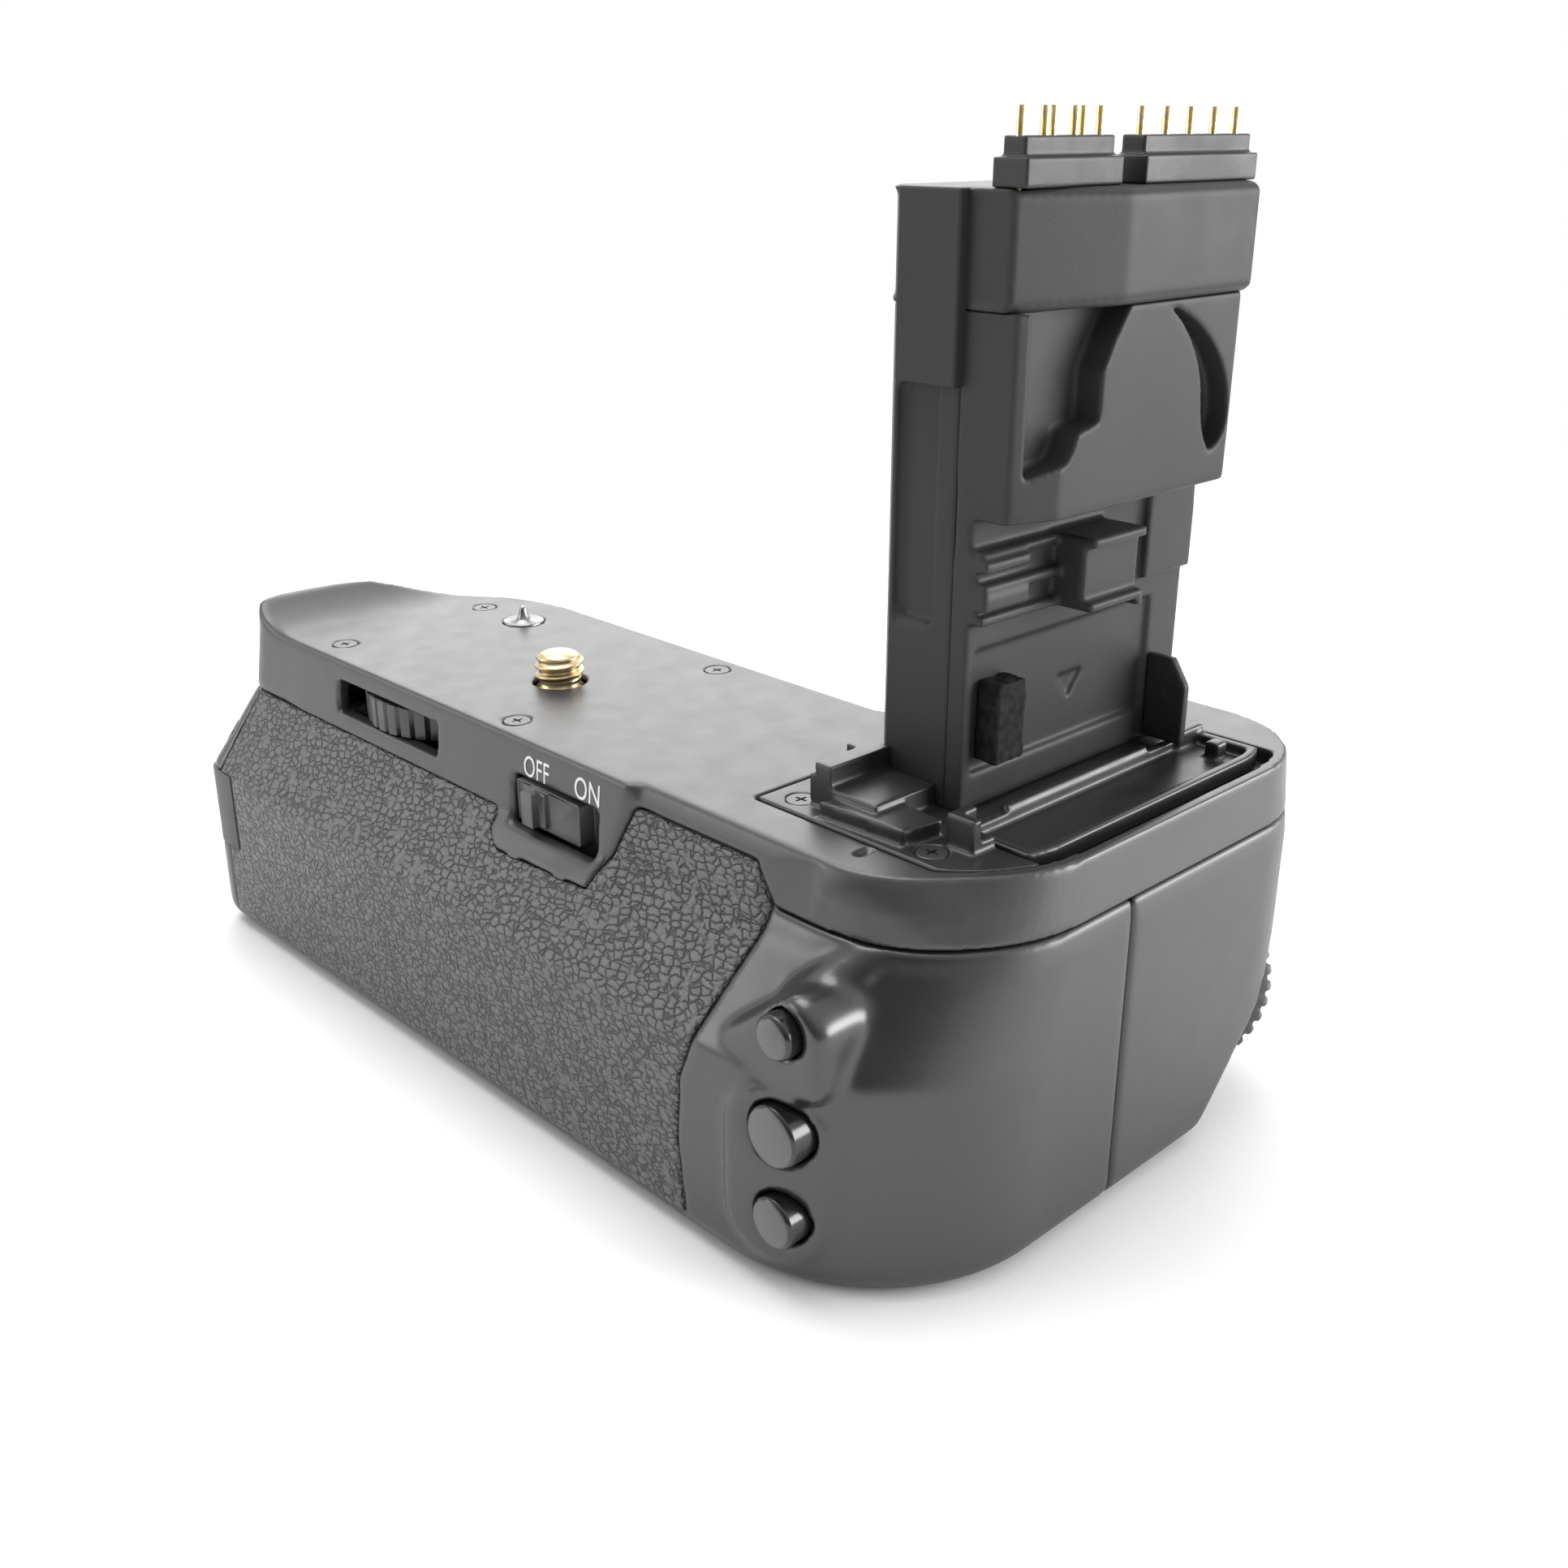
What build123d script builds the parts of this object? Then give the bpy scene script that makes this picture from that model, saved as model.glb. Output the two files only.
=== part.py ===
from build123d import *
from math import cos, radians, sin, tau
import os

# Battery grip. Millimetres, +Z up, zero on the axis of the attachment screw at deck level.
# +X runs to the hand end, +Y to the lens side, -Y to the user.
os.makedirs("parts", exist_ok=True)

HALF_SHARE = 0.5
FAR = 200.0
OVERRUN = 1.0

# Housing levels and thicknesses
WALL = 2.0
DECK = 2.2
RIM_LEVEL = 0.0
BAND_LEVEL = -9.5
BELLY_LEVEL = -20.0
BASE_LEVEL = -44.5
BASE_FILLET = 3.5
SHARP = 0.3
RUBBER = 1.0
PANEL_RAISE = 0.8
STEP_X = 34.0

# Plan outlines, corners counter-clockwise from the rear left, with their corner radii
RIM_LEFT = ((-53, -16.3), (80, -16.3), (80, 52), (49, 52), (40.5, 21), (-53, 21))
RIM_RIGHT = ((-53, -13), (80, -13), (80, 52), (49, 52), (40.5, 21), (-53, 21))
RIM_RADII = (5, 18, 14, 12, 8, 28)
BAND = ((-54, -17.3), (81, -17.3), (81, 52), (49, 52), (40.5, 21.8), (-54, 21.8))
BAND_RADII = (5, 19, 14, 12, 9, 22)
BELLY = ((-55, -25), (81, -25), (81, 52), (49, 52), (40.5, 23.4), (-55, 23.4))
BELLY_RADII = (4.5, 23, 14, 12, 9, 4.5)

# Thumb rest: upright face under a slanted shoulder, and the ridge that runs from it to the deck
THUMB_FACE = -24.2
THUMB_DEPTH = 10.2
THUMB_OUTLINE = ((51.9, -21.5), (71.0, -21.5), (71.4, -12.4), (67.4, -9.0))
THUMB_RADII = (1.6, 3, 3.5, 3)
THUMB_ROUND = 1.5
RIDGE_LOW = (64.9, -19.2, -13.5)
RIDGE_HIGH = (68.4, -13.2, -9.3)
RIDGE_RADIUS = 3.0

# Sloping corner that carries the shutter button and the dial
FACET_POINT = (79.5, 46, -26)
FACET_NORMAL = (0.61, 0.59, -0.53)
DIAL_AXIS = (-0.79, 0.48, -0.37)
DIAL_CENTRE = (73.1, 36.3, -27.9)
SHUTTER_POINT = (68.2, 47.6, -37.3)

# Parting of the shells
TOP_ZONE = ((-60, -40, -9.5), (90, 60, 8))
TONGUE = (
    (9.9, -9.0), (9.9, -9.5), (10.5, -12.3), (12.9, -13.5), (31.1, -13.5), (33.2, -11.4), (34, -9.0),
)
TONGUE_DEPTH = (10, 40)
CORNER_NOTCH = ((54, -40, -9.5), (90, 60, -6.8))
TAB_NOTCH = ((34, -9.6), (34, -2.7), (54, -2.7), (56.6, -6.8), (56.6, -9.6))
TAB_DEPTH = (6, 40)
REAR_ZONE = ((-60, -40, -50), (90, 12, 0))
FRONT_ZONE = ((-60, 12, -50), (90, 60, 0))

# Raised lip at the left end of the deck
LIP_TOP = 3.2
LIP_X = -41.5
LIP_HOLLOW = 16.0

# Openings in the top shell
DECK_OPENING = ((46, -8.5, -6), (90, 43.5, 6))
DECK_OPENING_INSET = 1.5
LEDGE_ZONE = ((44.5, -10, -4.0), (90, 45, -2.6))
LEDGE_OPENING = ((47.5, -7.5, -6), (90, 42, 6))
LEDGE_INSET = 3.2
WHEEL_WINDOW = ((-27.5, -22, -7.2), (-3.5, -13, -2.8))
WINDOW_GROOVE = ((-3.5, -20, -7.35), (9, -16.75, -7.05))
SWITCH_SLOT = ((13.2, -22, -10.3), (28.5, -12, -4.9))
ARC_SLOT = ((63.2, -10.4, -0.6), (64.4, -8.7, 1))

# Attachment screw, its bush, the thumb wheel and their gears
SCREW_RADIUS = 3.175
SCREW_TOP = 4.0
SCREW_FOOT = -9.9
SCREW_SHANK = 3.0
SCREW_SLOT = ((-4, -0.5, 2.9), (4, 0.5, 5))
SCREW_CHAMFER = 0.5
BUSH_BORE = 3.06
BUSH_RADIUS = 4.6
BUSH_FLANGE = 6.2
BUSH_TOP = -0.05
BUSH_FLANGE_FOOT = -2.8
BUSH_HOLE = 4.65
GEAR_TEETH = 21
GEAR_TIP = 9.15
GEAR_ROOT = 7.4
GEAR_TIP_HALF_ANGLE = 1.7
GEAR_ROOT_HALF_ANGLE = 5.6
GEAR_TOP = -7.5
GEAR_FOOT = -9.7
WHEEL_CENTRE = (-16.3, -4.07)
WHEEL_TOP = -3.0
WHEEL_FOOT = -7.0
WHEEL_HUB = 4.5
WHEEL_BORE = 2.05
WHEEL_RIBS = 36
WHEEL_RIB_STEPS = ((-3.2, 12.9), (3.2, 12.9), (5, 12.35))
WHEEL_DISH = 9.5
WHEEL_DISH_DEPTH = 0.8
AXLE_RADIUS = 2.0
SCREW_GEAR_TURN = 194.0
WHEEL_GEAR_TURN = 22.571
PLATE_TOP = -10.2
PLATE_FOOT = -11.2
PLATE_OUTLINE = ((-31.5, -6), (-8, -12), (11.5, -10), (13, 9), (8, 11), (-27, 11), (-32, 8))
PLATE_CORNER = 2.0
PLATE_POSTS = ((-29.5, 8), (10.5, 8.6), (10.5, -7.5))
POST_RADIUS = 1.7
PLATE_SCREW_HOLE = 3.3

# Locating pin and deck screws
PIN_PLACE = (-25.3, 12.4)
PIN_DISC = 3.0
PIN_DISC_TOP = 0.3
PIN_RADIUS = 1.25
PIN_TIP = 0.55
PIN_SHOULDER = 0.9
PIN_STRAIGHT = 1.3
PIN_TOP = 2.2
PIN_FOOT = -4.5
PIN_BOSS = 2.4
BOSS_FOOT = -6.0
DECK_SCREWS = ((-33.3, -11.8), (-35.2, 12.4), (8.6, -12.8), (10.8, 17.5), (49.8, -5.4), (68.4, -5.6))
SCREW_BOSS = 1.9
SCREW_HEAD = 1.7
SCREW_HEAD_TOP = -0.15
SCREW_HEAD_FOOT = -1.2
SHANK_RADIUS = 0.8
SHANK_FOOT = -5.4

# Deck insert round the tower's foot, and the door tray beside it
INSERT_ZONE = ((46.1, -8.4, -2.6), (90, 43.4, 0))
INSERT_INSET = 1.6
INSERT_LOW = ((66.8, -0.2, -1.6), (90, 50, 5))
INSERT_STEP = ((50.6, -5.8, 0), (54.5, 3.4, 5.0))
INSERT_STEP_NOTCH = ((50.6, -5.8, 3.6), (52.2, 0.5, 5.0))
INSERT_BLOCK = ((54.5, -5.8, 0), (61, 3.4, 2.6))
INSERT_PLATE = ((54.5, -7.6), (65.8, -7), (66.7, -2), (58, -1.2))
INSERT_PLATE_TOP = 1.8
CABLE_HOLE = ((54, 8, -6), (59, 21, 2))
TRAY_ZONE = ((66.9, 0, -1.6), (90, 42.5, 0.4))
TRAY_INSET = 3.2
TRAY_RIM = 1.1
TRAY_FLOOR = -0.8
TRAY_CUT_ZONE = ((68.1, 1.2, -0.8), (90, 41.3, 3))
CORNER_POST = ((68.4, -3.6, 0), (72, -0.2, 3.6))
CORNER_POST_NOTCH = ((69.6, -2.4, 1.2), (72, 0, 3.6))
TRAY_HINGES = (((67.2, 37.4, -0.9), (68.6, 42.4, 1.4)), ((71.6, 37.9, -0.9), (73.4, 40.0, 1.2)))
TRAY_RIDGE = ((66.9, 7, -1.6), (67.9, 32, 1.0))

# Power switch
SLIDER_FACE = ((13.35, -16.7, -10.15), (25.4, -14.5, -5.05))
SLIDER_FLANGE = ((10.9, -14.5, -11.3), (29.2, -13.75, -3.9))
SLIDER_RIDGE = ((16.4, -18.4, -9.6), (18.6, -16.7, -5.3))
SLIDER_RAMP = ((18.6, -17.3, -9.6), (19.6, -16.7, -5.3))
SWITCH_BODY = ((14, -13.6, -13.4), (27, -10.6, -5.8))
SWITCH_TRACK = ((15.5, -13.6, -9.2), (25.5, -13.0, -7.2))

# Rear buttons: place, cap radius, how far the cap stands out
BUTTON_UPPER = (66.2, -14.1)
BUTTON_MIDDLE = (65.9, -25.4)
BUTTON_LOWER = (66.0, -35.5)
UPPER_RADIUS = 2.4
MIDDLE_RADIUS = 3.4
LOWER_RADIUS = 2.85
BUTTON_FACE = -26.0
BUTTON_PLAY = 0.08
BUTTON_FLANGE = 0.3
FLANGE_OUTER = -21.55
FLANGE_INNER = -20.9
POCKET_PLAY = 0.2
POCKET_OUTER = -21.6
SEAT_INNER = -20.6
SEAT_BLOCK = ((57, -30, -42.45), (71, SEAT_INNER, -10.4))
CAP_BEVEL = 0.3
PANEL_CENTRE = (65.05, -30.9)
PANEL_LENGTH = 20.2
PANEL_WIDTH = 11.5
BOARD_OUTER = -19.8
BOARD_INNER = -19.3
BOARD_OUTLINE = ((60.8, -41.5), (68.6, -41.5), (68.6, -12.2), (66.4, -12.2), (60.8, -16.6))
BOARD_SPACE = ((60.2, -24), (69.2, -24), (69.2, -11.7), (66.2, -11.7), (60.2, -16.4))
BOARD_SPACE_INNER = -18.5
BOARD_POSTS = (((63, -20.7, -20.6), (68, -19.8, -18.2)), ((61, -20.7, -31.6), (68, -19.8, -29.9)))
TACT_SIZE = 1.8
TACT_OUTER = -20.2
TACT_DOME = 1.1
TACT_DOME_OUTER = -20.35

# Rubber
REAR_RUBBER = (
    (-49.5, -9.55), (-49.5, -42.3), (52, -42.3), (51, -33), (51.5, -25), (53.2, -20.7), (56.5, -6.9),
    (53.9, -2.75), (34.05, -2.75), (34.05, -9.0), (33.25, -11.45), (31.1, -13.55), (12.9, -13.55),
    (10.45, -12.3), (9.85, -9.55),
)
FRONT_RUBBER = ((43, -9.5), (67, -9.5), (67, -13), (58, -32), (53.5, -41.5), (43, -41.5))
RUBBER_DEPTH_REAR = ((-60, -40, -50), (90, -6, 0))
RUBBER_DEPTH_FRONT = ((-60, 27, -50), (90, 60, 0))

# Cord hole cover at the left rear corner
COVER_ZONE = ((-56, -26, -31.4), (-46.55, -22.1, -20.1))
COVER_RECESS = ((-56, -26, -31.5), (-46.5, -22.0, -20.0))
COVER_THICK = 1.2
COVER_HINGE = (-46.9, -24.3)
HINGE_ROLL = 0.6
HINGE_GROOVE = 0.88
CORD_HOLE = ((-56, -26, -28.5), (-50.5, -22.0, -23.5))

# Magazine with its cap, knob and bolt
MOUTH_CENTRE = (0, -27.75)
MOUTH_SIZE = (43.6, 28.1)
MOUTH_ROUND = 4.3
MOUTH_DEPTH = -48.9
CAP_SIZE = (43.2, 27.7)
CAP_ROUND_CORNER = 4.1
CAP_INNER = -49.5
MAGAZINE_FRAME = ((-49.5, -19.15, -40.4), (68, 20.65, -18.0))
FRAME_TROUGH = ((-60, -18.55, -39.2), (80, 20.05, -10))
FRAME_SLOT = ((-8.8, -8.8, -42), (70, 8.8, -39.2))
MAGAZINE_DIVIDER = ((8.8, -18.5, -39.2), (9.7, 20.0, -18.0))
MAGAZINE_END = ((67.1, -18.5, -39.2), (68, 20.0, -18.0))
FINGER_NOTCHES = (((-29, -22, -26), (-11, 24, -10)), ((29, -22, -26), (47, 24, -10)))
FRAME_CORNER = ((-50, 16.9), (-45.6, 21.2), (-50, 21.2))
KNOB_LEVEL = -28.0
KNOB_RECESS = 8.1
KNOB_RECESS_FLOOR = -53.2
KNOB_RADIUS = 7.9
KNOB_OUTER = -54.0
KNOB_INNER = -53.25
KNOB_BAR = ((-54.9, -1.3, -35.2), (-54.0, 1.3, -20.8))
KNOB_SHAFT = 2.0
KNOB_SHAFT_BORE = 2.05
KNOB_SHAFT_END = -49.8
BOLT_POCKET = ((-51.2, -4.1, -37.3), (-49.0, 4.1, -13.0))
BOLT = ((-51.1, -4, -34), (-49.7, 4, -12.5))
BOLT_SLOT = ((-52, -2.2, -30.3), (-49, 2.2, -22.8))
BOLT_NOTCH = ((-56, -4.5, -14.2), (-49.0, 4.5, -11.9))
CONTACT_ROWS = (-5, 0, 5)
CONTACT_HALF = 1.0
CONTACT_THICK = 0.4
CONTACT_LEVELS = (-31, -25)
RAIL_HALF = 8.0
RAIL_FOOT = -33.0

# Battery bay
BAY_ROOF = ((-48.8, -20.2, -17.7), (69.2, 19.6, -16.8))
BAY_FLOOR = ((-48.8, -20.2, -41.6), (69.2, 21.2, -40.7))
BAY_REAR = ((-48.8, -20.2, BAY_FLOOR[1][2]), (56, -19.35, BAY_ROOF[0][2]))
BAY_END = ((68.3, -19.2, BAY_FLOOR[1][2]), (69.2, 19.6, BAY_ROOF[0][2]))
BAY_BOARD_NOTCH = ((56, -21, -42), (70, -19.2, -16))
BAY_CORNER = ((-49, 14.5), (-49, 22), (-42.5, 22))
BAY_LIGHTENING = (
    ((-44, -16, -18), (-22, 13, -16)), ((-16, -16, -18), (5, 13, -16)), ((12, -8, -18), (36, 10, -16)),
)
SOCKET_CLEARANCE = 6.3
BOARD_STANDS = ((-46.4, -9), (-46.4, 10), (8.5, -9.5), (8.5, 13.5), (39.5, -8), (39.5, 12))
STAND_RADIUS = 1.4
BAY_PAD_FRONT = 68.05
BAY_PAD_LEVELS = (-30, -26)
BAY_LINK_HALF = 0.5
BAY_LINK_LEVELS = (-28.6, -27.4)
BAY_CONTACT_BACK = ((69.2, -8, -31), (70.2, 8, -25))

# Base plate and its screws
BASE_SEAM = 3.6
BASE_GAP = 0.1
BASE_SCREWS = ((-40, -12), (20, -12), (60, -12), (-40, 16), (20, 16), (60, 16))
BASE_BOSS = 3.0
BASE_HEAD = 1.9
BASE_HEAD_TOP = -43.2
BASE_HEAD_LOW = -44.4
BASE_SHANK_TOP = -40.8
SOCKET_RADIUS = 6.0
SOCKET_FLANGE = 8.5
SOCKET_FLANGE_TOP = -41.65
SOCKET_TOP = -39.7
SOCKET_DEPTH = 4.5
SHELL_FLOOR_TOP = -42.5

# Boards
MAIN_BOARD = ((-48.5, -11.5, -14.4), (42, 15.5, -13.4))
BOARD_NOTCH = ((-20, 9, -16), (0, 20, -12))
BOARD_CHIPS = (
    ((-40, -6, -13.4), (-30, 4, -12.2)), ((30, -3, -13.4), (38, 5, -12.0)), ((20, 2, -13.4), (26, 10, -12.4)),
    ((-46, 8, -13.4), (-38, 13, -12.0)),
)
CABLE_FOOT = ((40.5, 9, -13.4), (56.2, 20, -13.0))
CABLE_RISE = ((55.8, 9, -13.4), (56.2, 20, 56))
CABLE_TOP = ((55.8, 9, 55.6), (66, 20, 56))

# Tower
STEM_PLAN = ((51, 6.1), (53.6, 3.5), (62, 3.5), (62, 41.5), (53, 41.5), (51, 39.5))
STEM_TOP = 50.5
STEM_HOLLOW = ((52.6, 5.1, 1.6), (64, 39.9, 60))
STEM_CABLE = ((54, 8, -2), (59, 21, 3))
STEM_GROOVE = ((3.4, 18), (3.4, 43), (4.3, 43), (4.3, 21))
STEM_GROOVE_X = (54.0, 58.6)
STEM_SIDE_RAILS = (((50.6, 14, 6), (51, 16, 46)), ((50.6, 30, 6), (51, 32, 46)))
STEM_TENON = ((52.9, 5.4, -0.9), (60.4, 39.7, 0))
COVER_PLATE = ((62, 3.5, 0), (64.2, 41.5, 50.5))
COVER_PLATE_HOLLOW = ((61, 5.1, 1.6), (62.8, 39.9, 49))
BLOCK_PLAN = ((64.2, 3.5), (68.4, 3.5), (70.3, 9), (70.3, 38), (68, 41.5), (64.2, 41.5))
BLOCK_FOOT = 31.0
BLOCK_HOLLOW = ((62, 5.3, 33), (66, 39.7, 49))
ISLAND_POCKET = (
    (5.2, 35.3), (9.9, 36.4), (10.7, 37.3), (11.5, 39.1), (13.4, 39.5), (14.7, 39.9), (14.8, 41.4),
    (14.8, 44.5), (16.4, 47.4), (18.7, 50.6), (5.2, 50.6),
)
POCKET_FLOOR_X = 67.0
SCOOP_OUTER = ((24.4, 50.3), (30.2, 48.2), (34.5, 45), (37.3, 40.6), (37.0, 35.8), (34.9, 34.6))
SCOOP_INNER = ((34.9, 34.6), (32.9, 37.9), (32.1, 42), (29.8, 46.2), (26.4, 49.3), (24.4, 50.3))
SCOOP_FLOOR_X = 67.6
CORNER_RIBS = (((64.2, 3.5, 25.9), (66.4, 10.5, 27)), ((64.2, 3.5, 22), (66.4, 10.5, 23.5)))
CLIP_BODY = ((64.2, 15.8, 20.3), (70.2, 24, 28))
CLIP_HOLLOW = ((65.4, 15, 21.4), (69.2, 23, 26.8))
CLIP_FLANGE = ((64.2, 24, 19.6), (70.2, 25, 28))
STEM_STEP = ((64.2, 32.6, 20.0), (65.2, 41.5, 31))
PANEL_CUT = ((63.6, 5, 4), (66, 35.6, 17.4))
ARROW_POINTS = ((19.5, 11.3), (24.5, 11.3), (22, 8.3))
ARROW_FLOOR_X = 63.1
FOAM_PAD = ((63.6, 5.9, 5.3), (66.8, 10.6, 14))
HINGE_EAR = ((64.2, 0.45), (69.5, 0.45), (69.5, 7.5), (67.5, 10.5), (64.2, 10.5))
HINGE_EAR_Y = 36.0
HINGE_EAR_END = 37.2
EAR_HOLE = (67.4, 6.6)
EAR_HOLE_RADIUS = 0.9
HEAD_PLAN = ((51, 4.2), (52.8, 2.4), (67.5, 2.4), (70.9, 16.7), (70.9, 38.8), (68.6, 41), (51, 41))
HEAD_FOOT = 50.5
HEAD_TOP_LEVEL = 61.3
HEAD_CORNERS = (0.5, 0.5, 0.5, 0.5, 0.5, 0.5, 0.5)
HEAD_WALL = 1.7
HEAD_CEILING = 59.7
HEAD_EDGE = 0.7
RAIL_STRIP = ((54.7, 1.9, 43.5), (62.4, 3.5, 61.3))
RAIL_CHANNEL = ((56.2, 1, 42), (60, 2.9, 59.8))
RAIL_NOTCH = ((54.7, 1, 40), (62.4, 3.5, 70))

# Contact blocks on the tower head
FLANGE_4 = ((64.6, 3.6, 61.3), (68.6, 18.1, 62.9))
BODY_4 = ((65.2, 4.2, 62.9), (67.8, 17.5, 65.7))
FLANGE_5 = ((65.1, 20.9, 61.3), (69.2, 40.4, 62.9))
BODY_5 = ((65.7, 21.5, 62.9), (68.4, 40, 65.7))
PINS_4 = ((66.5, 4.9), (66.5, 8.3), (66.5, 9.5), (66.5, 12.7), (66.5, 13.9), (66.5, 16.6))
PINS_5 = ((67, 22.5), (67, 26.7), (67, 30.8), (67, 35), (67, 39))
CONTACT_PIN_RADIUS = 0.42
CONTACT_BORE = 0.47
CONTACT_FOOT = 59.4
CONTACT_TOP = 68.2
PIN_SLOT_4 = ((65.9, 4.3, 58.8), (67.1, 17.2, 70))
PIN_SLOT_5 = ((66.4, 21.9, 58.8), (67.6, 39.6, 70))

# Shutter button and dial, lengths along the facet normal from the facet
SHUTTER_RING_BORE = 4.5
SHUTTER_RING_RADIUS = 6.3
SHUTTER_RING_LIP = 7.0
SHUTTER_RING_TOP = 0.9
SHUTTER_RING_FOOT = -2.6
SHUTTER_HOLE = 6.35
SHUTTER_HOLE_DEPTH = -9.0
SHUTTER_CAP = 4.4
SHUTTER_TOP = 1.6
SHUTTER_FLANGE = 4.95
SHUTTER_FLANGE_TOP = -2.75
SHUTTER_FLANGE_FOOT = -3.5
SHUTTER_BOARD_TOP = -5.0
SHUTTER_BOARD_FOOT = -5.8
SHUTTER_BOARD_SIZE = (12.6, 5.0)
SHUTTER_DOME = 1.6
SHUTTER_DOME_TOP = -4.4
SHUTTER_POSTS = ((-5.65, 0), (5.65, 0))
SHUTTER_POST = 0.6
DIAL_HALF_WIDTH = 2.2
DIAL_TEETH = 32
DIAL_TOOTH_STEPS = ((-4.4, 9.75), (-3.1, 10.15), (-1.2, 10.3), (1.2, 10.3), (3.1, 10.15), (4.4, 9.75))
DIAL_BORE = 1.55
DIAL_AXLE = 1.5
DIAL_AXLE_HALF = 4.2
DIAL_POCKET = 10.8
DIAL_POCKET_HALF = 2.9
DIAL_CHEEK = ((-3, -3.2), (7.4, -3.2), (7.4, 3.2), (-3, 3.2))
DIAL_CHEEK_OUTER = 4.25


def block(corners, mode=Mode.ADD):
    """Box between two opposite corners."""
    low, high = corners
    size = [end - start for start, end in zip(low, high)]
    middle = tuple((start + end) * HALF_SHARE for start, end in zip(low, high))
    with Locations(middle):
        Box(*size, mode=mode)


def rods(places, radius, start, end, mode=Mode.ADD):
    """Upright cylinders at several places of the plan."""
    with BuildSketch(Plane.XY.offset(start)) as made:
        with Locations(*places):
            Circle(radius)
    extrude(made.sketch, amount=end - start, dir=(0, 0, 1), mode=mode)


def rod(plane, radius, start, end, mode=Mode.ADD):
    """Cylinder along the normal of a plane."""
    with BuildSketch(plane.offset(start)) as made:
        Circle(radius)
    extrude(made.sketch, amount=end - start, dir=plane.z_dir, mode=mode)


def prism(plane, points, start, end, mode=Mode.ADD):
    """Straight-sided outline drawn on a plane and carried along its normal."""
    with BuildSketch(plane.offset(start)) as made:
        with BuildLine():
            Polyline(*points, close=True)
        make_face()
    extrude(made.sketch, amount=end - start, dir=plane.z_dir, mode=mode)


def moved_corners(points, radii, inset):
    """Corners and radii of an outline moved inwards by inset."""
    corners = []
    rounds = []
    count = len(points)
    for index in range(count):
        before = Vector(*points[index - 1], 0)
        here = Vector(*points[index], 0)
        after = Vector(*points[(index + 1) % count], 0)
        first = (here - before).normalized()
        second = (after - here).normalized()
        normal_first = Vector(-first.Y, first.X, 0)
        normal_second = Vector(-second.Y, second.X, 0)
        shift = (normal_first + normal_second) * (inset / (1 + normal_first.dot(normal_second)))
        turn = first.X * second.Y - first.Y * second.X
        rounding = radii[index] - inset if turn > 0 else radii[index] + inset
        corner = here + shift
        corners.append((corner.X, corner.Y))
        rounds.append(max(rounding, SHARP))
    return corners, rounds


def outline(points, radii, level, inset):
    """Rounded plan outline at a level, moved inwards by inset."""
    corners, rounds = moved_corners(points, radii, inset)
    with BuildSketch(Plane.XY.offset(level)) as made:
        with BuildLine():
            FilletPolyline(*corners, radius=rounds, close=True)
        make_face()
    return made.sketch


def lofted(lower, upper):
    """Straight transition between two outlines."""
    with BuildPart() as made:
        add(lower)
        add(upper)
        loft(ruled=True)
    return made.part


def thumb_rest(inset):
    """Bulk of the thumb rest outside the lofted wall."""
    corners, rounds = moved_corners(THUMB_OUTLINE, THUMB_RADII, inset)
    ridge = Vector(*RIDGE_HIGH) - Vector(*RIDGE_LOW)
    with BuildPart() as made:
        with BuildSketch(Plane.XZ.offset(-THUMB_FACE - inset)) as face:
            with BuildLine():
                FilletPolyline(*corners, radius=rounds, close=True)
            make_face()
        extrude(face.sketch, amount=THUMB_DEPTH, dir=(0, 1, 0))
        if THUMB_ROUND - inset > SHARP:
            fillet(made.faces().sort_by(Axis.Y)[0].edges(), THUMB_ROUND - inset)
        rod(Plane(origin=RIDGE_LOW, z_dir=ridge), RIDGE_RADIUS - inset, 0, ridge.length)
        with Locations(RIDGE_LOW, RIDGE_HIGH):
            Sphere(RIDGE_RADIUS - inset)
    return made.part


def envelope(inset, drop, rounding):
    """Outside of the whole housing moved inwards by inset, its deck lowered by drop."""
    band = outline(BAND, BAND_RADII, BAND_LEVEL, inset)
    belly = outline(BELLY, BELLY_RADII, BELLY_LEVEL, inset)
    left = lofted(band, outline(RIM_LEFT, RIM_RADII, RIM_LEVEL, inset))
    right = lofted(band, outline(RIM_RIGHT, RIM_RADII, RIM_LEVEL, inset))
    step = STEP_X - inset
    base = BASE_LEVEL + inset
    with BuildPart() as left_piece:
        add(left)
        block(((-FAR, -FAR, -FAR), (step, FAR, FAR)), mode=Mode.INTERSECT)
    with BuildPart() as right_piece:
        add(right)
        block(((step, -FAR, -FAR), (FAR, FAR, FAR)), mode=Mode.INTERSECT)
    with BuildPart() as bottom:
        extrude(belly, amount=BELLY_LEVEL - base, dir=(0, 0, -1))
        if rounding:
            fillet(bottom.faces().sort_by(Axis.Z)[0].edges(), rounding)
    facet = Plane(origin=FACET_POINT, z_dir=FACET_NORMAL).offset(-inset)
    with BuildPart() as whole:
        add(bottom.part)
        add(lofted(belly, band))
        add(left_piece.part)
        add(right_piece.part)
        add(thumb_rest(inset))
        with Locations(facet):
            Box(FAR, FAR, FAR, align=(Align.CENTER, Align.CENTER, Align.MIN), mode=Mode.SUBTRACT)
        if drop:
            block(((-FAR, -FAR, -drop), (FAR, FAR, FAR)), mode=Mode.SUBTRACT)
    return whole.part


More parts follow.
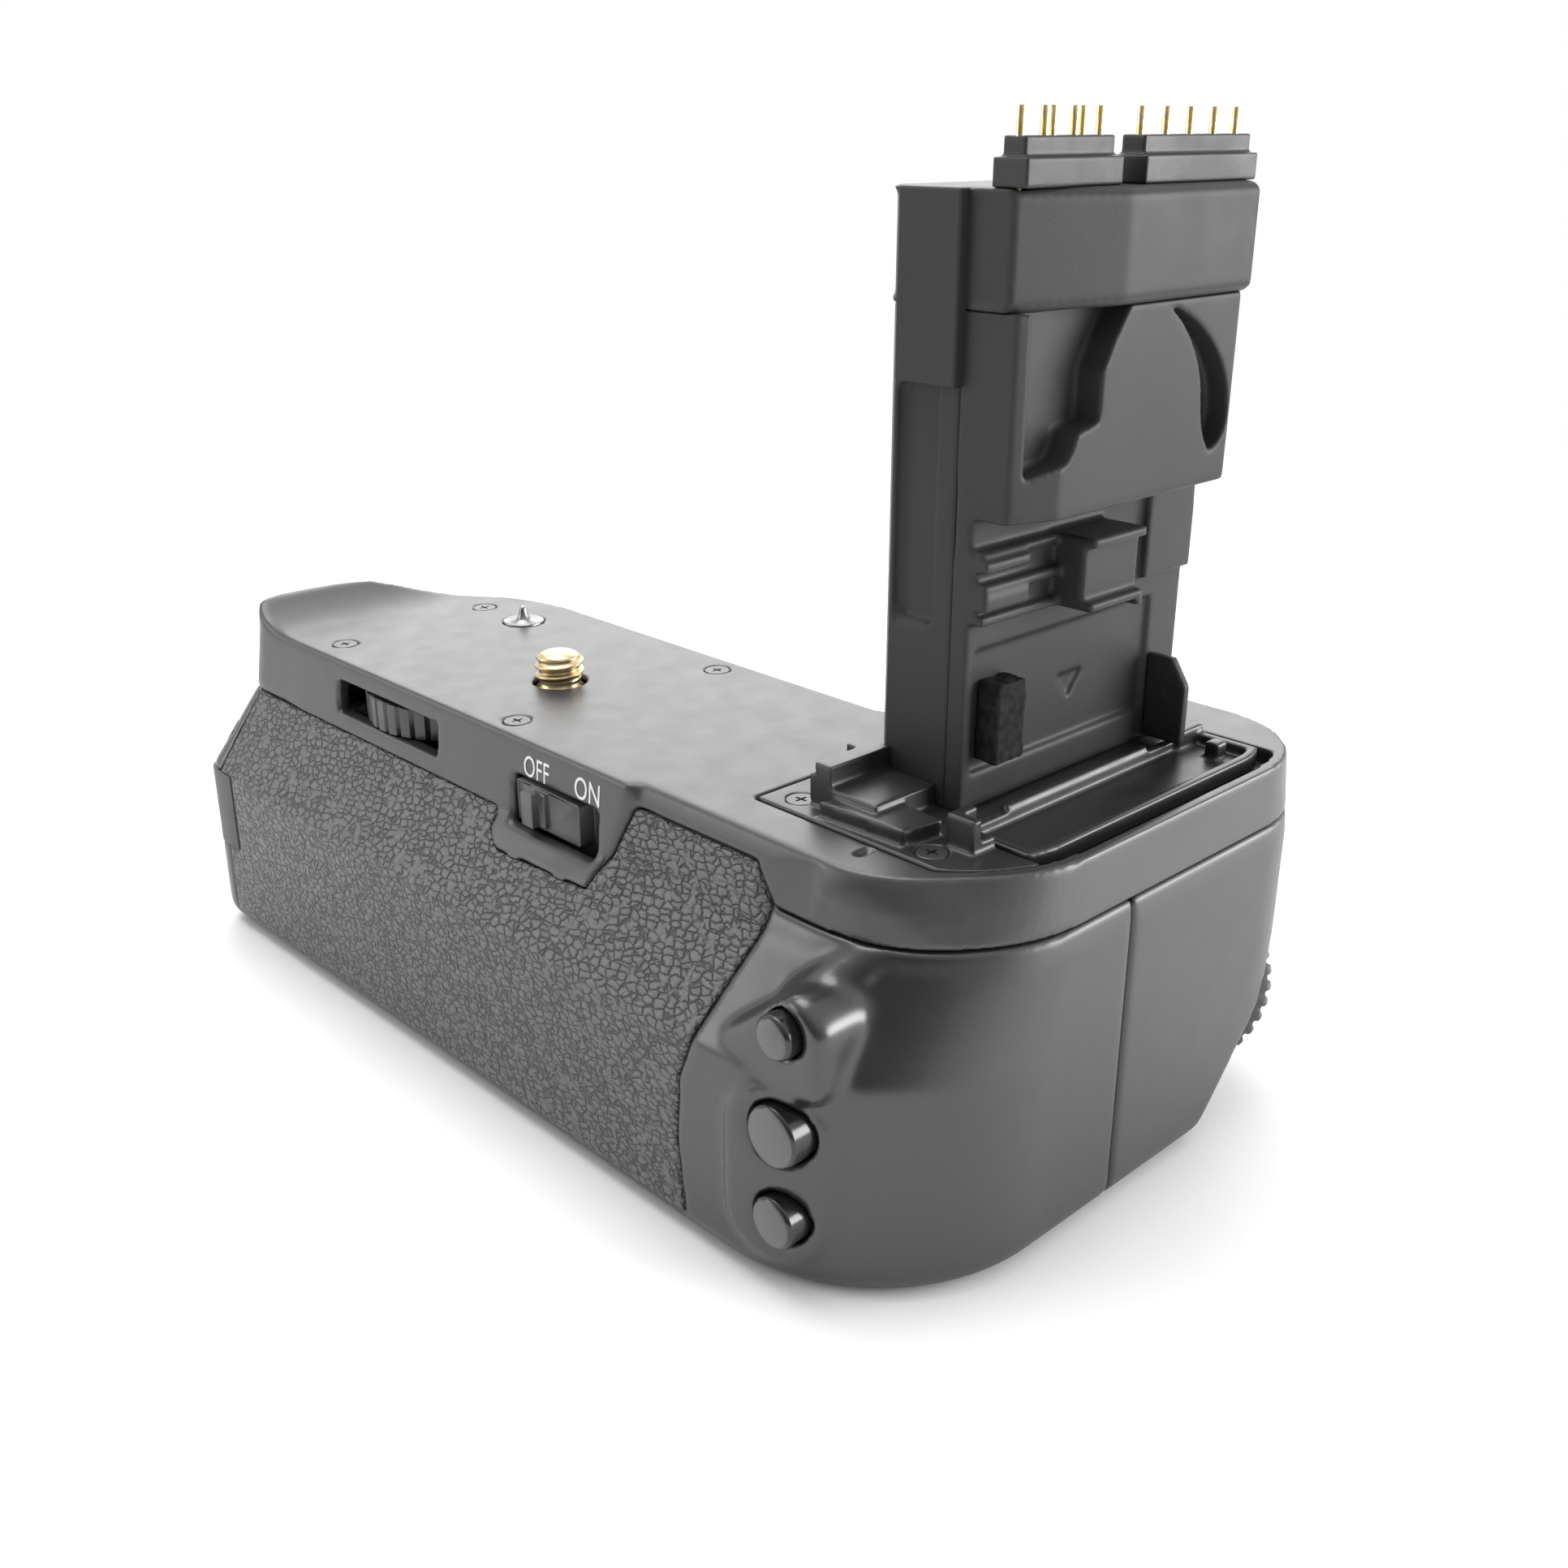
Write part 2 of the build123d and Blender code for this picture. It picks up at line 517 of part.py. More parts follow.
def base_slab(inset):
    """Flat slab in the underside, its edge inset from the housing's outline."""
    facet = Plane(origin=FACET_POINT, z_dir=FACET_NORMAL).offset(-inset)
    with BuildPart() as made:
        plan = outline(BELLY, BELLY_RADII, BASE_LEVEL, inset)
        extrude(plan, amount=SHELL_FLOOR_TOP - BASE_LEVEL, dir=(0, 0, 1))
        with Locations(facet):
            Box(FAR, FAR, FAR, align=(Align.CENTER, Align.CENTER, Align.MIN), mode=Mode.SUBTRACT)
    return made.part


def toothed(centre, turn, teeth, steps):
    """Outline of teeth round a centre, each tooth given as angles and radii."""
    points = []
    for tooth in range(teeth):
        for offset, radius in steps:
            angle = radians(turn + offset) + tooth * tau / teeth
            points.append((centre[0] + radius * cos(angle), centre[1] + radius * sin(angle)))
    return points


def gear(centre, turn):
    """Straight-toothed gear seen in plan."""
    steps = (
        (-GEAR_ROOT_HALF_ANGLE, GEAR_ROOT), (-GEAR_TIP_HALF_ANGLE, GEAR_TIP),
        (GEAR_TIP_HALF_ANGLE, GEAR_TIP), (GEAR_ROOT_HALF_ANGLE, GEAR_ROOT),
    )
    return toothed(centre, turn, GEAR_TEETH, steps)


def save(piece, name):
    """Write one named piece."""
    piece.label = name
    export_step(piece, "parts/" + name + ".step")


def rear_plane(place):
    """Plane across a rear button, its normal pointing to the user."""
    return Plane(origin=(place[0], 0, place[1]), x_dir=(1, 0, 0), z_dir=(0, -1, 0))


outer = envelope(0, 0, BASE_FILLET)
inner = envelope(WALL, DECK, 0)
under_rubber = envelope(RUBBER, 0, 0)
facet_plane = Plane(origin=SHUTTER_POINT, x_dir=DIAL_AXIS, z_dir=FACET_NORMAL)
dial_plane = Plane(origin=DIAL_CENTRE, x_dir=FACET_NORMAL, z_dir=facet_plane.x_dir)

# Zones of the shells
with BuildPart() as top_zone:
    block(TOP_ZONE)
    prism(Plane.XZ, TONGUE, *TONGUE_DEPTH)
    block(CORNER_NOTCH, mode=Mode.SUBTRACT)
    prism(Plane.XZ, TAB_NOTCH, *TAB_DEPTH, mode=Mode.SUBTRACT)

# Recess of the cord hole cover
with BuildPart() as cover_recess:
    add(outer)
    add(envelope(COVER_THICK, 0, 0), mode=Mode.SUBTRACT)
    block(COVER_RECESS, mode=Mode.INTERSECT)
    rods([COVER_HINGE], HINGE_GROOVE, COVER_RECESS[0][2], COVER_RECESS[1][2])

# Rubber skins
with BuildPart() as rear_grip_rubber:
    add(outer)
    add(under_rubber, mode=Mode.SUBTRACT)
    block(RUBBER_DEPTH_REAR, mode=Mode.INTERSECT)
    prism(Plane.XZ, REAR_RUBBER, -FAR, FAR, mode=Mode.INTERSECT)
    block(COVER_RECESS, mode=Mode.SUBTRACT)
    add(cover_recess.part, mode=Mode.SUBTRACT)
save(rear_grip_rubber.part, "rear_grip_rubber")

with BuildPart() as front_grip_rubber:
    add(outer)
    add(under_rubber, mode=Mode.SUBTRACT)
    block(RUBBER_DEPTH_FRONT, mode=Mode.INTERSECT)
    prism(Plane.XZ, FRONT_RUBBER, -FAR, FAR, mode=Mode.INTERSECT)
save(front_grip_rubber.part, "front_grip_rubber")

# Cord hole cover
with BuildPart() as cord_hole_cover:
    add(outer)
    add(envelope(COVER_THICK, 0, 0), mode=Mode.SUBTRACT)
    block(COVER_ZONE, mode=Mode.INTERSECT)
    rods([COVER_HINGE], HINGE_ROLL, COVER_ZONE[0][2], COVER_ZONE[1][2])
save(cord_hole_cover.part, "cord_hole_cover")

# Top shell
opening = outline(RIM_RIGHT, RIM_RADII, -FAR, DECK_OPENING_INSET)
ledge = outline(RIM_RIGHT, RIM_RADII, -FAR, LEDGE_INSET)
with BuildPart() as opening_tool:
    extrude(opening, amount=FAR + FAR, dir=(0, 0, 1))
    block(DECK_OPENING, mode=Mode.INTERSECT)
with BuildPart() as ledge_tool:
    extrude(ledge, amount=FAR + FAR, dir=(0, 0, 1))
    block(LEDGE_OPENING, mode=Mode.INTERSECT)
with BuildPart() as lip_tool:
    extrude(outline(RIM_LEFT, RIM_RADII, RIM_LEVEL, 0), amount=LIP_TOP, dir=(0, 0, 1))
    block(((-FAR, -FAR, -FAR), (LIP_X, FAR, FAR)), mode=Mode.INTERSECT)
    rod(Plane(origin=(LIP_X, 0, LIP_HOLLOW), z_dir=(0, 1, 0)), LIP_HOLLOW, -FAR, FAR, mode=Mode.SUBTRACT)
with BuildPart() as ledge_ring:
    add(outer)
    block(LEDGE_ZONE, mode=Mode.INTERSECT)
with BuildPart() as top_shell:
    add(outer)
    add(inner, mode=Mode.SUBTRACT)
    add(top_zone.part, mode=Mode.INTERSECT)
    add(opening_tool.part, mode=Mode.SUBTRACT)
    add(lip_tool.part)
    add(ledge_ring.part)
    add(ledge_tool.part, mode=Mode.SUBTRACT)
    rods(DECK_SCREWS[:4], SCREW_BOSS, BOSS_FOOT, -DECK)
    rods([PIN_PLACE], PIN_BOSS, BOSS_FOOT, -DECK)
    rods([(0, 0)], BUSH_HOLE, -DECK - OVERRUN, OVERRUN, mode=Mode.SUBTRACT)
    rods(DECK_SCREWS[:4], SCREW_HEAD, SCREW_HEAD_FOOT, OVERRUN, mode=Mode.SUBTRACT)
    rods(DECK_SCREWS[:4], SHANK_RADIUS, SHANK_FOOT, OVERRUN, mode=Mode.SUBTRACT)
    rods([PIN_PLACE], PIN_DISC, -PIN_SHOULDER, OVERRUN, mode=Mode.SUBTRACT)
    rods([PIN_PLACE], PIN_RADIUS, PIN_FOOT, OVERRUN, mode=Mode.SUBTRACT)
    block(WHEEL_WINDOW, mode=Mode.SUBTRACT)
    block(WINDOW_GROOVE, mode=Mode.SUBTRACT)
    block(SWITCH_SLOT, mode=Mode.SUBTRACT)
    block(ARC_SLOT, mode=Mode.SUBTRACT)
save(top_shell.part, "top_shell")

# Rear shell
mouth_plane = Plane(origin=(MOUTH_DEPTH, 0, 0), x_dir=(0, -1, 0), z_dir=(-1, 0, 0))
with BuildSketch(mouth_plane) as mouth_sketch:
    with Locations((MOUTH_CENTRE[0], MOUTH_CENTRE[1])):
        RectangleRounded(*MOUTH_SIZE, MOUTH_ROUND)
with BuildPart() as mouth_tool:
    extrude(mouth_sketch.sketch, amount=FAR, dir=(-1, 0, 0))
with BuildPart() as lower_shell:
    add(outer)
    add(inner, mode=Mode.SUBTRACT)
    add(top_zone.part, mode=Mode.SUBTRACT)
    add(mouth_tool.part, mode=Mode.SUBTRACT)
    block(BOLT_NOTCH, mode=Mode.SUBTRACT)
    add(base_slab(BASE_SEAM), mode=Mode.SUBTRACT)

# Base plate
with BuildPart() as base_plate:
    add(base_slab(BASE_SEAM + BASE_GAP))
    rods(BASE_SCREWS, BASE_BOSS, SHELL_FLOOR_TOP, BAY_FLOOR[0][2])
    rods(BASE_SCREWS, BASE_HEAD, BASE_LEVEL - OVERRUN, BASE_HEAD_TOP, mode=Mode.SUBTRACT)
    rods(BASE_SCREWS, SHANK_RADIUS, BASE_LEVEL - OVERRUN, BASE_SHANK_TOP, mode=Mode.SUBTRACT)
    rods([(0, 0)], SOCKET_RADIUS, BASE_LEVEL - OVERRUN, BAY_FLOOR[0][2], mode=Mode.SUBTRACT)
save(base_plate.part, "base_plate")

buttons = (
    ("rear_button_upper", BUTTON_UPPER, UPPER_RADIUS),
    ("rear_button_middle", BUTTON_MIDDLE, MIDDLE_RADIUS),
    ("rear_button_lower", BUTTON_LOWER, LOWER_RADIUS),
)
with BuildPart() as button_panel:
    add(envelope(-PANEL_RAISE, 0, 0))
    with BuildSketch(Plane.XZ) as panel_sketch:
        with Locations(PANEL_CENTRE):
            SlotOverall(PANEL_LENGTH, PANEL_WIDTH, rotation=90)
    extrude(panel_sketch.sketch, amount=FAR, dir=(0, -1, 0), mode=Mode.INTERSECT)
    block(((-FAR, -FAR, -FAR), (FAR, SEAT_INNER, FAR)), mode=Mode.INTERSECT)
with BuildPart() as seat_block:
    add(outer)
    block(SEAT_BLOCK, mode=Mode.INTERSECT)
with BuildPart() as rear_shell:
    add(lower_shell.part)
    block(REAR_ZONE, mode=Mode.INTERSECT)
    add(seat_block.part)
    add(button_panel.part)
    prism(Plane.XZ, BOARD_SPACE, -BOARD_SPACE_INNER, -SEAT_INNER, mode=Mode.SUBTRACT)
    for post in BOARD_POSTS:
        block(post)
    for name, place, radius in buttons:
        pocket = radius + BUTTON_FLANGE + POCKET_PLAY
        rod(rear_plane(place), radius + BUTTON_PLAY, 0, FAR, mode=Mode.SUBTRACT)
        rod(rear_plane(place), pocket, 0, -POCKET_OUTER, mode=Mode.SUBTRACT)
    add(rear_grip_rubber.part, mode=Mode.SUBTRACT)
    add(cover_recess.part, mode=Mode.SUBTRACT)
    block(CORD_HOLE, mode=Mode.SUBTRACT)
save(rear_shell.part, "rear_shell")

# Front shell
with BuildPart() as front_shell:
    add(lower_shell.part)
    block(FRONT_ZONE, mode=Mode.INTERSECT)
    add(front_grip_rubber.part, mode=Mode.SUBTRACT)
    rod(facet_plane, SHUTTER_HOLE, SHUTTER_HOLE_DEPTH, OVERRUN, mode=Mode.SUBTRACT)
    rod(dial_plane, DIAL_POCKET, -DIAL_POCKET_HALF, DIAL_POCKET_HALF, mode=Mode.SUBTRACT)
    prism(dial_plane, DIAL_CHEEK, DIAL_POCKET_HALF, DIAL_CHEEK_OUTER)
    prism(dial_plane, DIAL_CHEEK, -DIAL_CHEEK_OUTER, -DIAL_POCKET_HALF)
    rod(dial_plane, DIAL_AXLE, -DIAL_AXLE_HALF, DIAL_AXLE_HALF, mode=Mode.SUBTRACT)
save(front_shell.part, "front_shell")

# Rear buttons
for name, place, radius in buttons:
    with BuildPart() as rear_button:
        rod(rear_plane(place), radius, -FLANGE_INNER, -BUTTON_FACE)
        chamfer(rear_button.faces().sort_by(Axis.Y)[0].edges(), CAP_BEVEL)
        rod(rear_plane(place), radius + BUTTON_FLANGE, -FLANGE_INNER, -FLANGE_OUTER)
    save(rear_button.part, name)

# Button board and its switches
with BuildPart() as button_board:
    prism(Plane.XZ, BOARD_OUTLINE, -BOARD_INNER, -BOARD_OUTER)
save(button_board.part, "button_board")
with BuildPart() as tact_switches:
    for name, place, radius in buttons:
        low = (place[0] - TACT_SIZE, TACT_OUTER, place[1] - TACT_SIZE)
        high = (place[0] + TACT_SIZE, BOARD_OUTER, place[1] + TACT_SIZE)
        block((low, high))
        rod(rear_plane(place), TACT_DOME, -TACT_OUTER, -TACT_DOME_OUTER)
save(tact_switches.part, "tact_switches")

# Power switch
with BuildPart() as power_switch:
    block(SLIDER_FLANGE)
    block(SLIDER_FACE)
    block(SLIDER_RIDGE)
    block(SLIDER_RAMP)
save(power_switch.part, "power_switch")
with BuildPart() as slide_switch:
    block(SWITCH_BODY)
    block(SWITCH_TRACK, mode=Mode.SUBTRACT)
save(slide_switch.part, "slide_switch")

# Attachment screw with its gear
with BuildPart() as attachment_screw:
    rods([(0, 0)], SCREW_RADIUS, 0, SCREW_TOP)
    chamfer(attachment_screw.faces().sort_by(Axis.Z)[-1].edges(), SCREW_CHAMFER)
    block(SCREW_SLOT, mode=Mode.SUBTRACT)
    rods([(0, 0)], SCREW_SHANK, SCREW_FOOT, 0)
save(attachment_screw.part, "attachment_screw")
with BuildPart() as screw_gear:
    prism(Plane.XY, gear((0, 0), SCREW_GEAR_TURN), GEAR_FOOT, GEAR_TOP)
    rods([(0, 0)], SCREW_SHANK, GEAR_FOOT, GEAR_TOP, mode=Mode.SUBTRACT)
save(screw_gear.part, "screw_gear")
with BuildPart() as screw_bush:
    rods([(0, 0)], BUSH_RADIUS, -DECK, BUSH_TOP)
    rods([(0, 0)], BUSH_FLANGE, BUSH_FLANGE_FOOT, -DECK)
    rods([(0, 0)], BUSH_BORE, BUSH_FLANGE_FOOT, BUSH_TOP, mode=Mode.SUBTRACT)
save(screw_bush.part, "screw_bush")

# Thumb wheel with its gear
with BuildPart() as thumb_wheel:
    ribs = toothed(WHEEL_CENTRE, 0, WHEEL_RIBS, WHEEL_RIB_STEPS)
    prism(Plane.XY, ribs, WHEEL_FOOT, WHEEL_TOP)
    rods([WHEEL_CENTRE], WHEEL_DISH, WHEEL_TOP - WHEEL_DISH_DEPTH, WHEEL_TOP, mode=Mode.SUBTRACT)
    rods([WHEEL_CENTRE], WHEEL_HUB, WHEEL_TOP - WHEEL_DISH_DEPTH, WHEEL_TOP)
    rods([WHEEL_CENTRE], WHEEL_HUB, GEAR_TOP, WHEEL_FOOT)
    rods([WHEEL_CENTRE], WHEEL_BORE, GEAR_FOOT, WHEEL_TOP, mode=Mode.SUBTRACT)
save(thumb_wheel.part, "thumb_wheel")
with BuildPart() as wheel_gear:
    prism(Plane.XY, gear(WHEEL_CENTRE, WHEEL_GEAR_TURN), GEAR_FOOT, GEAR_TOP)
    rods([WHEEL_CENTRE], WHEEL_BORE, GEAR_FOOT, GEAR_TOP, mode=Mode.SUBTRACT)
save(wheel_gear.part, "wheel_gear")
with BuildPart() as wheel_axle:
    rods([WHEEL_CENTRE], AXLE_RADIUS, PLATE_FOOT, -DECK)
save(wheel_axle.part, "wheel_axle")
with BuildPart() as gear_plate:
    prism(Plane.XY, PLATE_OUTLINE, PLATE_FOOT, PLATE_TOP)
    fillet(gear_plate.edges().filter_by(Axis.Z), PLATE_CORNER)
    rods(PLATE_POSTS, POST_RADIUS, PLATE_TOP, -DECK)
    rods([WHEEL_CENTRE], AXLE_RADIUS, PLATE_FOOT, PLATE_TOP, mode=Mode.SUBTRACT)
    rods([(0, 0)], PLATE_SCREW_HOLE, PLATE_FOOT, PLATE_TOP, mode=Mode.SUBTRACT)
save(gear_plate.part, "gear_plate")

# Locating pin and deck screws
with BuildPart() as locating_pin:
    rods([PIN_PLACE], PIN_DISC, -PIN_SHOULDER, PIN_DISC_TOP)
    rods([PIN_PLACE], PIN_RADIUS, PIN_FOOT, -PIN_SHOULDER)
    rods([PIN_PLACE], PIN_RADIUS, PIN_DISC_TOP, PIN_STRAIGHT)
    with BuildSketch(Plane.XY.offset(PIN_STRAIGHT)) as pin_root:
        with Locations(PIN_PLACE):
            Circle(PIN_RADIUS)
    with BuildSketch(Plane.XY.offset(PIN_TOP)) as pin_end:
        with Locations(PIN_PLACE):
            Circle(PIN_TIP)
    loft([pin_root.sketch, pin_end.sketch])
save(locating_pin.part, "locating_pin")
with BuildPart() as deck_screws:
    rods(DECK_SCREWS, SCREW_HEAD, SCREW_HEAD_FOOT, SCREW_HEAD_TOP)
    rods(DECK_SCREWS, SHANK_RADIUS, SHANK_FOOT, SCREW_HEAD_FOOT)
save(deck_screws.part, "deck_screws")

# Deck insert
insert_outline = outline(RIM_RIGHT, RIM_RADII, INSERT_ZONE[0][2], INSERT_INSET)
with BuildPart() as deck_insert:
    extrude(insert_outline, amount=-INSERT_ZONE[0][2], dir=(0, 0, 1))
    block(INSERT_ZONE, mode=Mode.INTERSECT)
    block(INSERT_LOW, mode=Mode.SUBTRACT)
    block(INSERT_STEP)
    block(INSERT_STEP_NOTCH, mode=Mode.SUBTRACT)
    block(INSERT_BLOCK)
    block(CORNER_POST)
    block(CORNER_POST_NOTCH, mode=Mode.SUBTRACT)
    prism(Plane.XY, INSERT_PLATE, 0, INSERT_PLATE_TOP)
    rods(DECK_SCREWS[4:], SCREW_BOSS, BOSS_FOOT, INSERT_ZONE[0][2])
    rods(DECK_SCREWS[4:], SCREW_HEAD, SCREW_HEAD_FOOT, FAR, mode=Mode.SUBTRACT)
    rods(DECK_SCREWS[4:], SHANK_RADIUS, SHANK_FOOT, FAR, mode=Mode.SUBTRACT)
    block(CABLE_HOLE, mode=Mode.SUBTRACT)
    block(STEM_TENON, mode=Mode.SUBTRACT)
save(deck_insert.part, "deck_insert")

# Door tray
with BuildPart() as tray_floor_cut:
    extrude(outline(RIM_RIGHT, RIM_RADII, TRAY_FLOOR, TRAY_INSET + TRAY_RIM), amount=FAR, dir=(0, 0, 1))
    block(TRAY_CUT_ZONE, mode=Mode.INTERSECT)
with BuildPart() as door_tray:
    extrude(outline(RIM_RIGHT, RIM_RADII, TRAY_ZONE[0][2], TRAY_INSET), amount=FAR, dir=(0, 0, 1))
    block(TRAY_ZONE, mode=Mode.INTERSECT)
    add(tray_floor_cut.part, mode=Mode.SUBTRACT)
    block(TRAY_RIDGE)
    for hinge in TRAY_HINGES:
        block(hinge)
save(door_tray.part, "door_tray")

# Tower
with BuildPart() as tower_shell:
    prism(Plane.XY, STEM_PLAN, 0, STEM_TOP)
    block(STEM_HOLLOW, mode=Mode.SUBTRACT)
    block(STEM_TENON)
    block(STEM_CABLE, mode=Mode.SUBTRACT)
    prism(Plane.YZ, STEM_GROOVE, *STEM_GROOVE_X, mode=Mode.SUBTRACT)
    for rail in STEM_SIDE_RAILS:
        block(rail)
save(tower_shell.part, "tower_shell")

with BuildPart() as tower_side_cover:
    block(COVER_PLATE)
    prism(Plane.XY, BLOCK_PLAN, BLOCK_FOOT, STEM_TOP)
    block(COVER_PLATE_HOLLOW, mode=Mode.SUBTRACT)
    block(BLOCK_HOLLOW, mode=Mode.SUBTRACT)
    prism(Plane.YZ, ISLAND_POCKET, POCKET_FLOOR_X, FAR, mode=Mode.SUBTRACT)
    with BuildSketch(Plane.YZ.offset(SCOOP_FLOOR_X)) as scoop:
        with BuildLine():
            Spline(*SCOOP_OUTER)
            Spline(*SCOOP_INNER)
        make_face()
    extrude(scoop.sketch, amount=FAR, dir=(1, 0, 0), mode=Mode.SUBTRACT)
    for rib in CORNER_RIBS:
        block(rib)
    block(CLIP_BODY)
    block(CLIP_HOLLOW, mode=Mode.SUBTRACT)
    block(CLIP_FLANGE)
    block(STEM_STEP)
    block(PANEL_CUT, mode=Mode.SUBTRACT)
    prism(Plane.YZ, ARROW_POINTS, ARROW_FLOOR_X, FAR, mode=Mode.SUBTRACT)
save(tower_side_cover.part, "tower_side_cover")

with BuildPart() as foam_pad:
    block(FOAM_PAD)
save(foam_pad.part, "foam_pad")
with BuildPart() as hinge_ear:
    prism(Plane.XZ, HINGE_EAR, -HINGE_EAR_END, -HINGE_EAR_Y)
    ear_axis = Plane(origin=(EAR_HOLE[0], 0, EAR_HOLE[1]), z_dir=(0, 1, 0))
    rod(ear_axis, EAR_HOLE_RADIUS, 0, FAR, mode=Mode.SUBTRACT)
save(hinge_ear.part, "hinge_ear")

head_hollow = outline(HEAD_PLAN, HEAD_CORNERS, HEAD_FOOT, HEAD_WALL)
with BuildPart() as tower_head:
    prism(Plane.XY, HEAD_PLAN, HEAD_FOOT, HEAD_TOP_LEVEL)
    chamfer(tower_head.faces().sort_by(Axis.Z)[-1].edges(), HEAD_EDGE)
    chamfer(tower_head.faces().sort_by(Axis.Z)[0].edges(), HEAD_EDGE)
    extrude(head_hollow, amount=HEAD_CEILING - HEAD_FOOT, dir=(0, 0, 1), mode=Mode.SUBTRACT)
    block(RAIL_NOTCH, mode=Mode.SUBTRACT)
    block(PIN_SLOT_4, mode=Mode.SUBTRACT)
    block(PIN_SLOT_5, mode=Mode.SUBTRACT)
save(tower_head.part, "tower_head")
with BuildPart() as rail_strip:
    block(RAIL_STRIP)
    block(RAIL_CHANNEL, mode=Mode.SUBTRACT)
save(rail_strip.part, "rail_strip")

# Contact blocks and pins
with BuildPart() as contact_block_four:
    block(FLANGE_4)
    block(BODY_4)
    rods(PINS_4, CONTACT_BORE, HEAD_FOOT, FAR, mode=Mode.SUBTRACT)
save(contact_block_four.part, "contact_block_four")
with BuildPart() as contact_block_five:
    block(FLANGE_5)
    block(BODY_5)
    rods(PINS_5, CONTACT_BORE, HEAD_FOOT, FAR, mode=Mode.SUBTRACT)
save(contact_block_five.part, "contact_block_five")
with BuildPart() as contact_pins:
    rods(PINS_4 + PINS_5, CONTACT_PIN_RADIUS, CONTACT_FOOT, CONTACT_TOP)
save(contact_pins.part, "contact_pins")


def contact_link(row):
    """Stem of a bay contact through the end wall."""
    low = (BAY_PAD_FRONT, row - BAY_LINK_HALF, BAY_LINK_LEVELS[0])
    high = (BAY_CONTACT_BACK[0][0], row + BAY_LINK_HALF, BAY_LINK_LEVELS[1])
    return low, high


# Battery bay
with BuildPart() as bay_roof:
    block(BAY_ROOF)
    for cut in BAY_LIGHTENING + (BAY_BOARD_NOTCH,):
        block(cut, mode=Mode.SUBTRACT)
    prism(Plane.XY, BAY_CORNER, -FAR, FAR, mode=Mode.SUBTRACT)
    rods(BOARD_STANDS, STAND_RADIUS, BAY_ROOF[1][2], MAIN_BOARD[0][2])
save(bay_roof.part, "bay_roof")
with BuildPart() as bay_floor:
    block(BAY_FLOOR)
    block(BAY_BOARD_NOTCH, mode=Mode.SUBTRACT)
    prism(Plane.XY, BAY_CORNER, -FAR, FAR, mode=Mode.SUBTRACT)
    below = BAY_FLOOR[0][2] - OVERRUN
    above = BAY_FLOOR[1][2] + OVERRUN
    rods([(0, 0)], SOCKET_CLEARANCE, below, above, mode=Mode.SUBTRACT)
    rods(BASE_SCREWS, SHANK_RADIUS, below, above, mode=Mode.SUBTRACT)
save(bay_floor.part, "bay_floor")
with BuildPart() as bay_rear_wall:
    block(BAY_REAR)
save(bay_rear_wall.part, "bay_rear_wall")
with BuildPart() as bay_end_wall:
    block(BAY_END)
    for row in CONTACT_ROWS:
        block(contact_link(row), mode=Mode.SUBTRACT)
save(bay_end_wall.part, "bay_end_wall")
with BuildPart() as bay_contacts:
    for row in CONTACT_ROWS:
        low = (BAY_PAD_FRONT, row - CONTACT_HALF, BAY_PAD_LEVELS[0])
        high = (BAY_END[0][0], row + CONTACT_HALF, BAY_PAD_LEVELS[1])
        block((low, high))
        block(contact_link(row))
    block(BAY_CONTACT_BACK)
save(bay_contacts.part, "bay_contacts")

# Magazine
with BuildPart() as magazine_frame:
    block(MAGAZINE_FRAME)
    for cut in (FRAME_TROUGH, FRAME_SLOT) + FINGER_NOTCHES:
        block(cut, mode=Mode.SUBTRACT)
    prism(Plane.XY, FRAME_CORNER, -FAR, FAR, mode=Mode.SUBTRACT)
save(magazine_frame.part, "magazine_frame")
with BuildPart() as magazine_divider:
    block(MAGAZINE_DIVIDER)
save(magazine_divider.part, "magazine_divider")
with BuildPart() as magazine_end:
    block(MAGAZINE_END)
save(magazine_end.part, "magazine_end")

cap_plane = Plane(origin=(CAP_INNER, 0, 0), x_dir=(0, -1, 0), z_dir=(-1, 0, 0))
knob_plane = Plane(origin=(0, 0, KNOB_LEVEL), x_dir=(0, -1, 0), z_dir=(-1, 0, 0))
with BuildSketch(cap_plane) as cap_sketch:
    with Locations((MOUTH_CENTRE[0], MOUTH_CENTRE[1])):
        RectangleRounded(*CAP_SIZE, CAP_ROUND_CORNER)
with BuildPart() as magazine_cap:
    extrude(cap_sketch.sketch, amount=FAR, dir=(-1, 0, 0))
    add(outer, mode=Mode.INTERSECT)
    rod(knob_plane, KNOB_RECESS, -KNOB_RECESS_FLOOR, FAR, mode=Mode.SUBTRACT)
    rod(knob_plane, KNOB_SHAFT_BORE, 0, FAR, mode=Mode.SUBTRACT)
    block(BOLT_POCKET, mode=Mode.SUBTRACT)
save(magazine_cap.part, "magazine_cap")
with BuildPart() as lock_knob:
    rod(knob_plane, KNOB_RADIUS, -KNOB_INNER, -KNOB_OUTER)
    block(KNOB_BAR)
    rod(knob_plane, KNOB_SHAFT, -KNOB_SHAFT_END, -KNOB_OUTER)
save(lock_knob.part, "lock_knob")
with BuildPart() as latch_bolt:
    block(BOLT)
    block(BOLT_SLOT, mode=Mode.SUBTRACT)
save(latch_bolt.part, "latch_bolt")
with BuildPart() as magazine_contacts:
    for wall in (MAGAZINE_DIVIDER[0][0], MAGAZINE_END[0][0]):
        front = wall - CONTACT_THICK
        block(((front, -RAIL_HALF, RAIL_FOOT), (wall, RAIL_HALF, CONTACT_LEVELS[0])))
        for row in CONTACT_ROWS:
            low = (front, row - CONTACT_HALF, CONTACT_LEVELS[0])
            high = (wall, row + CONTACT_HALF, CONTACT_LEVELS[1])
            block((low, high))
save(magazine_contacts.part, "magazine_contacts")

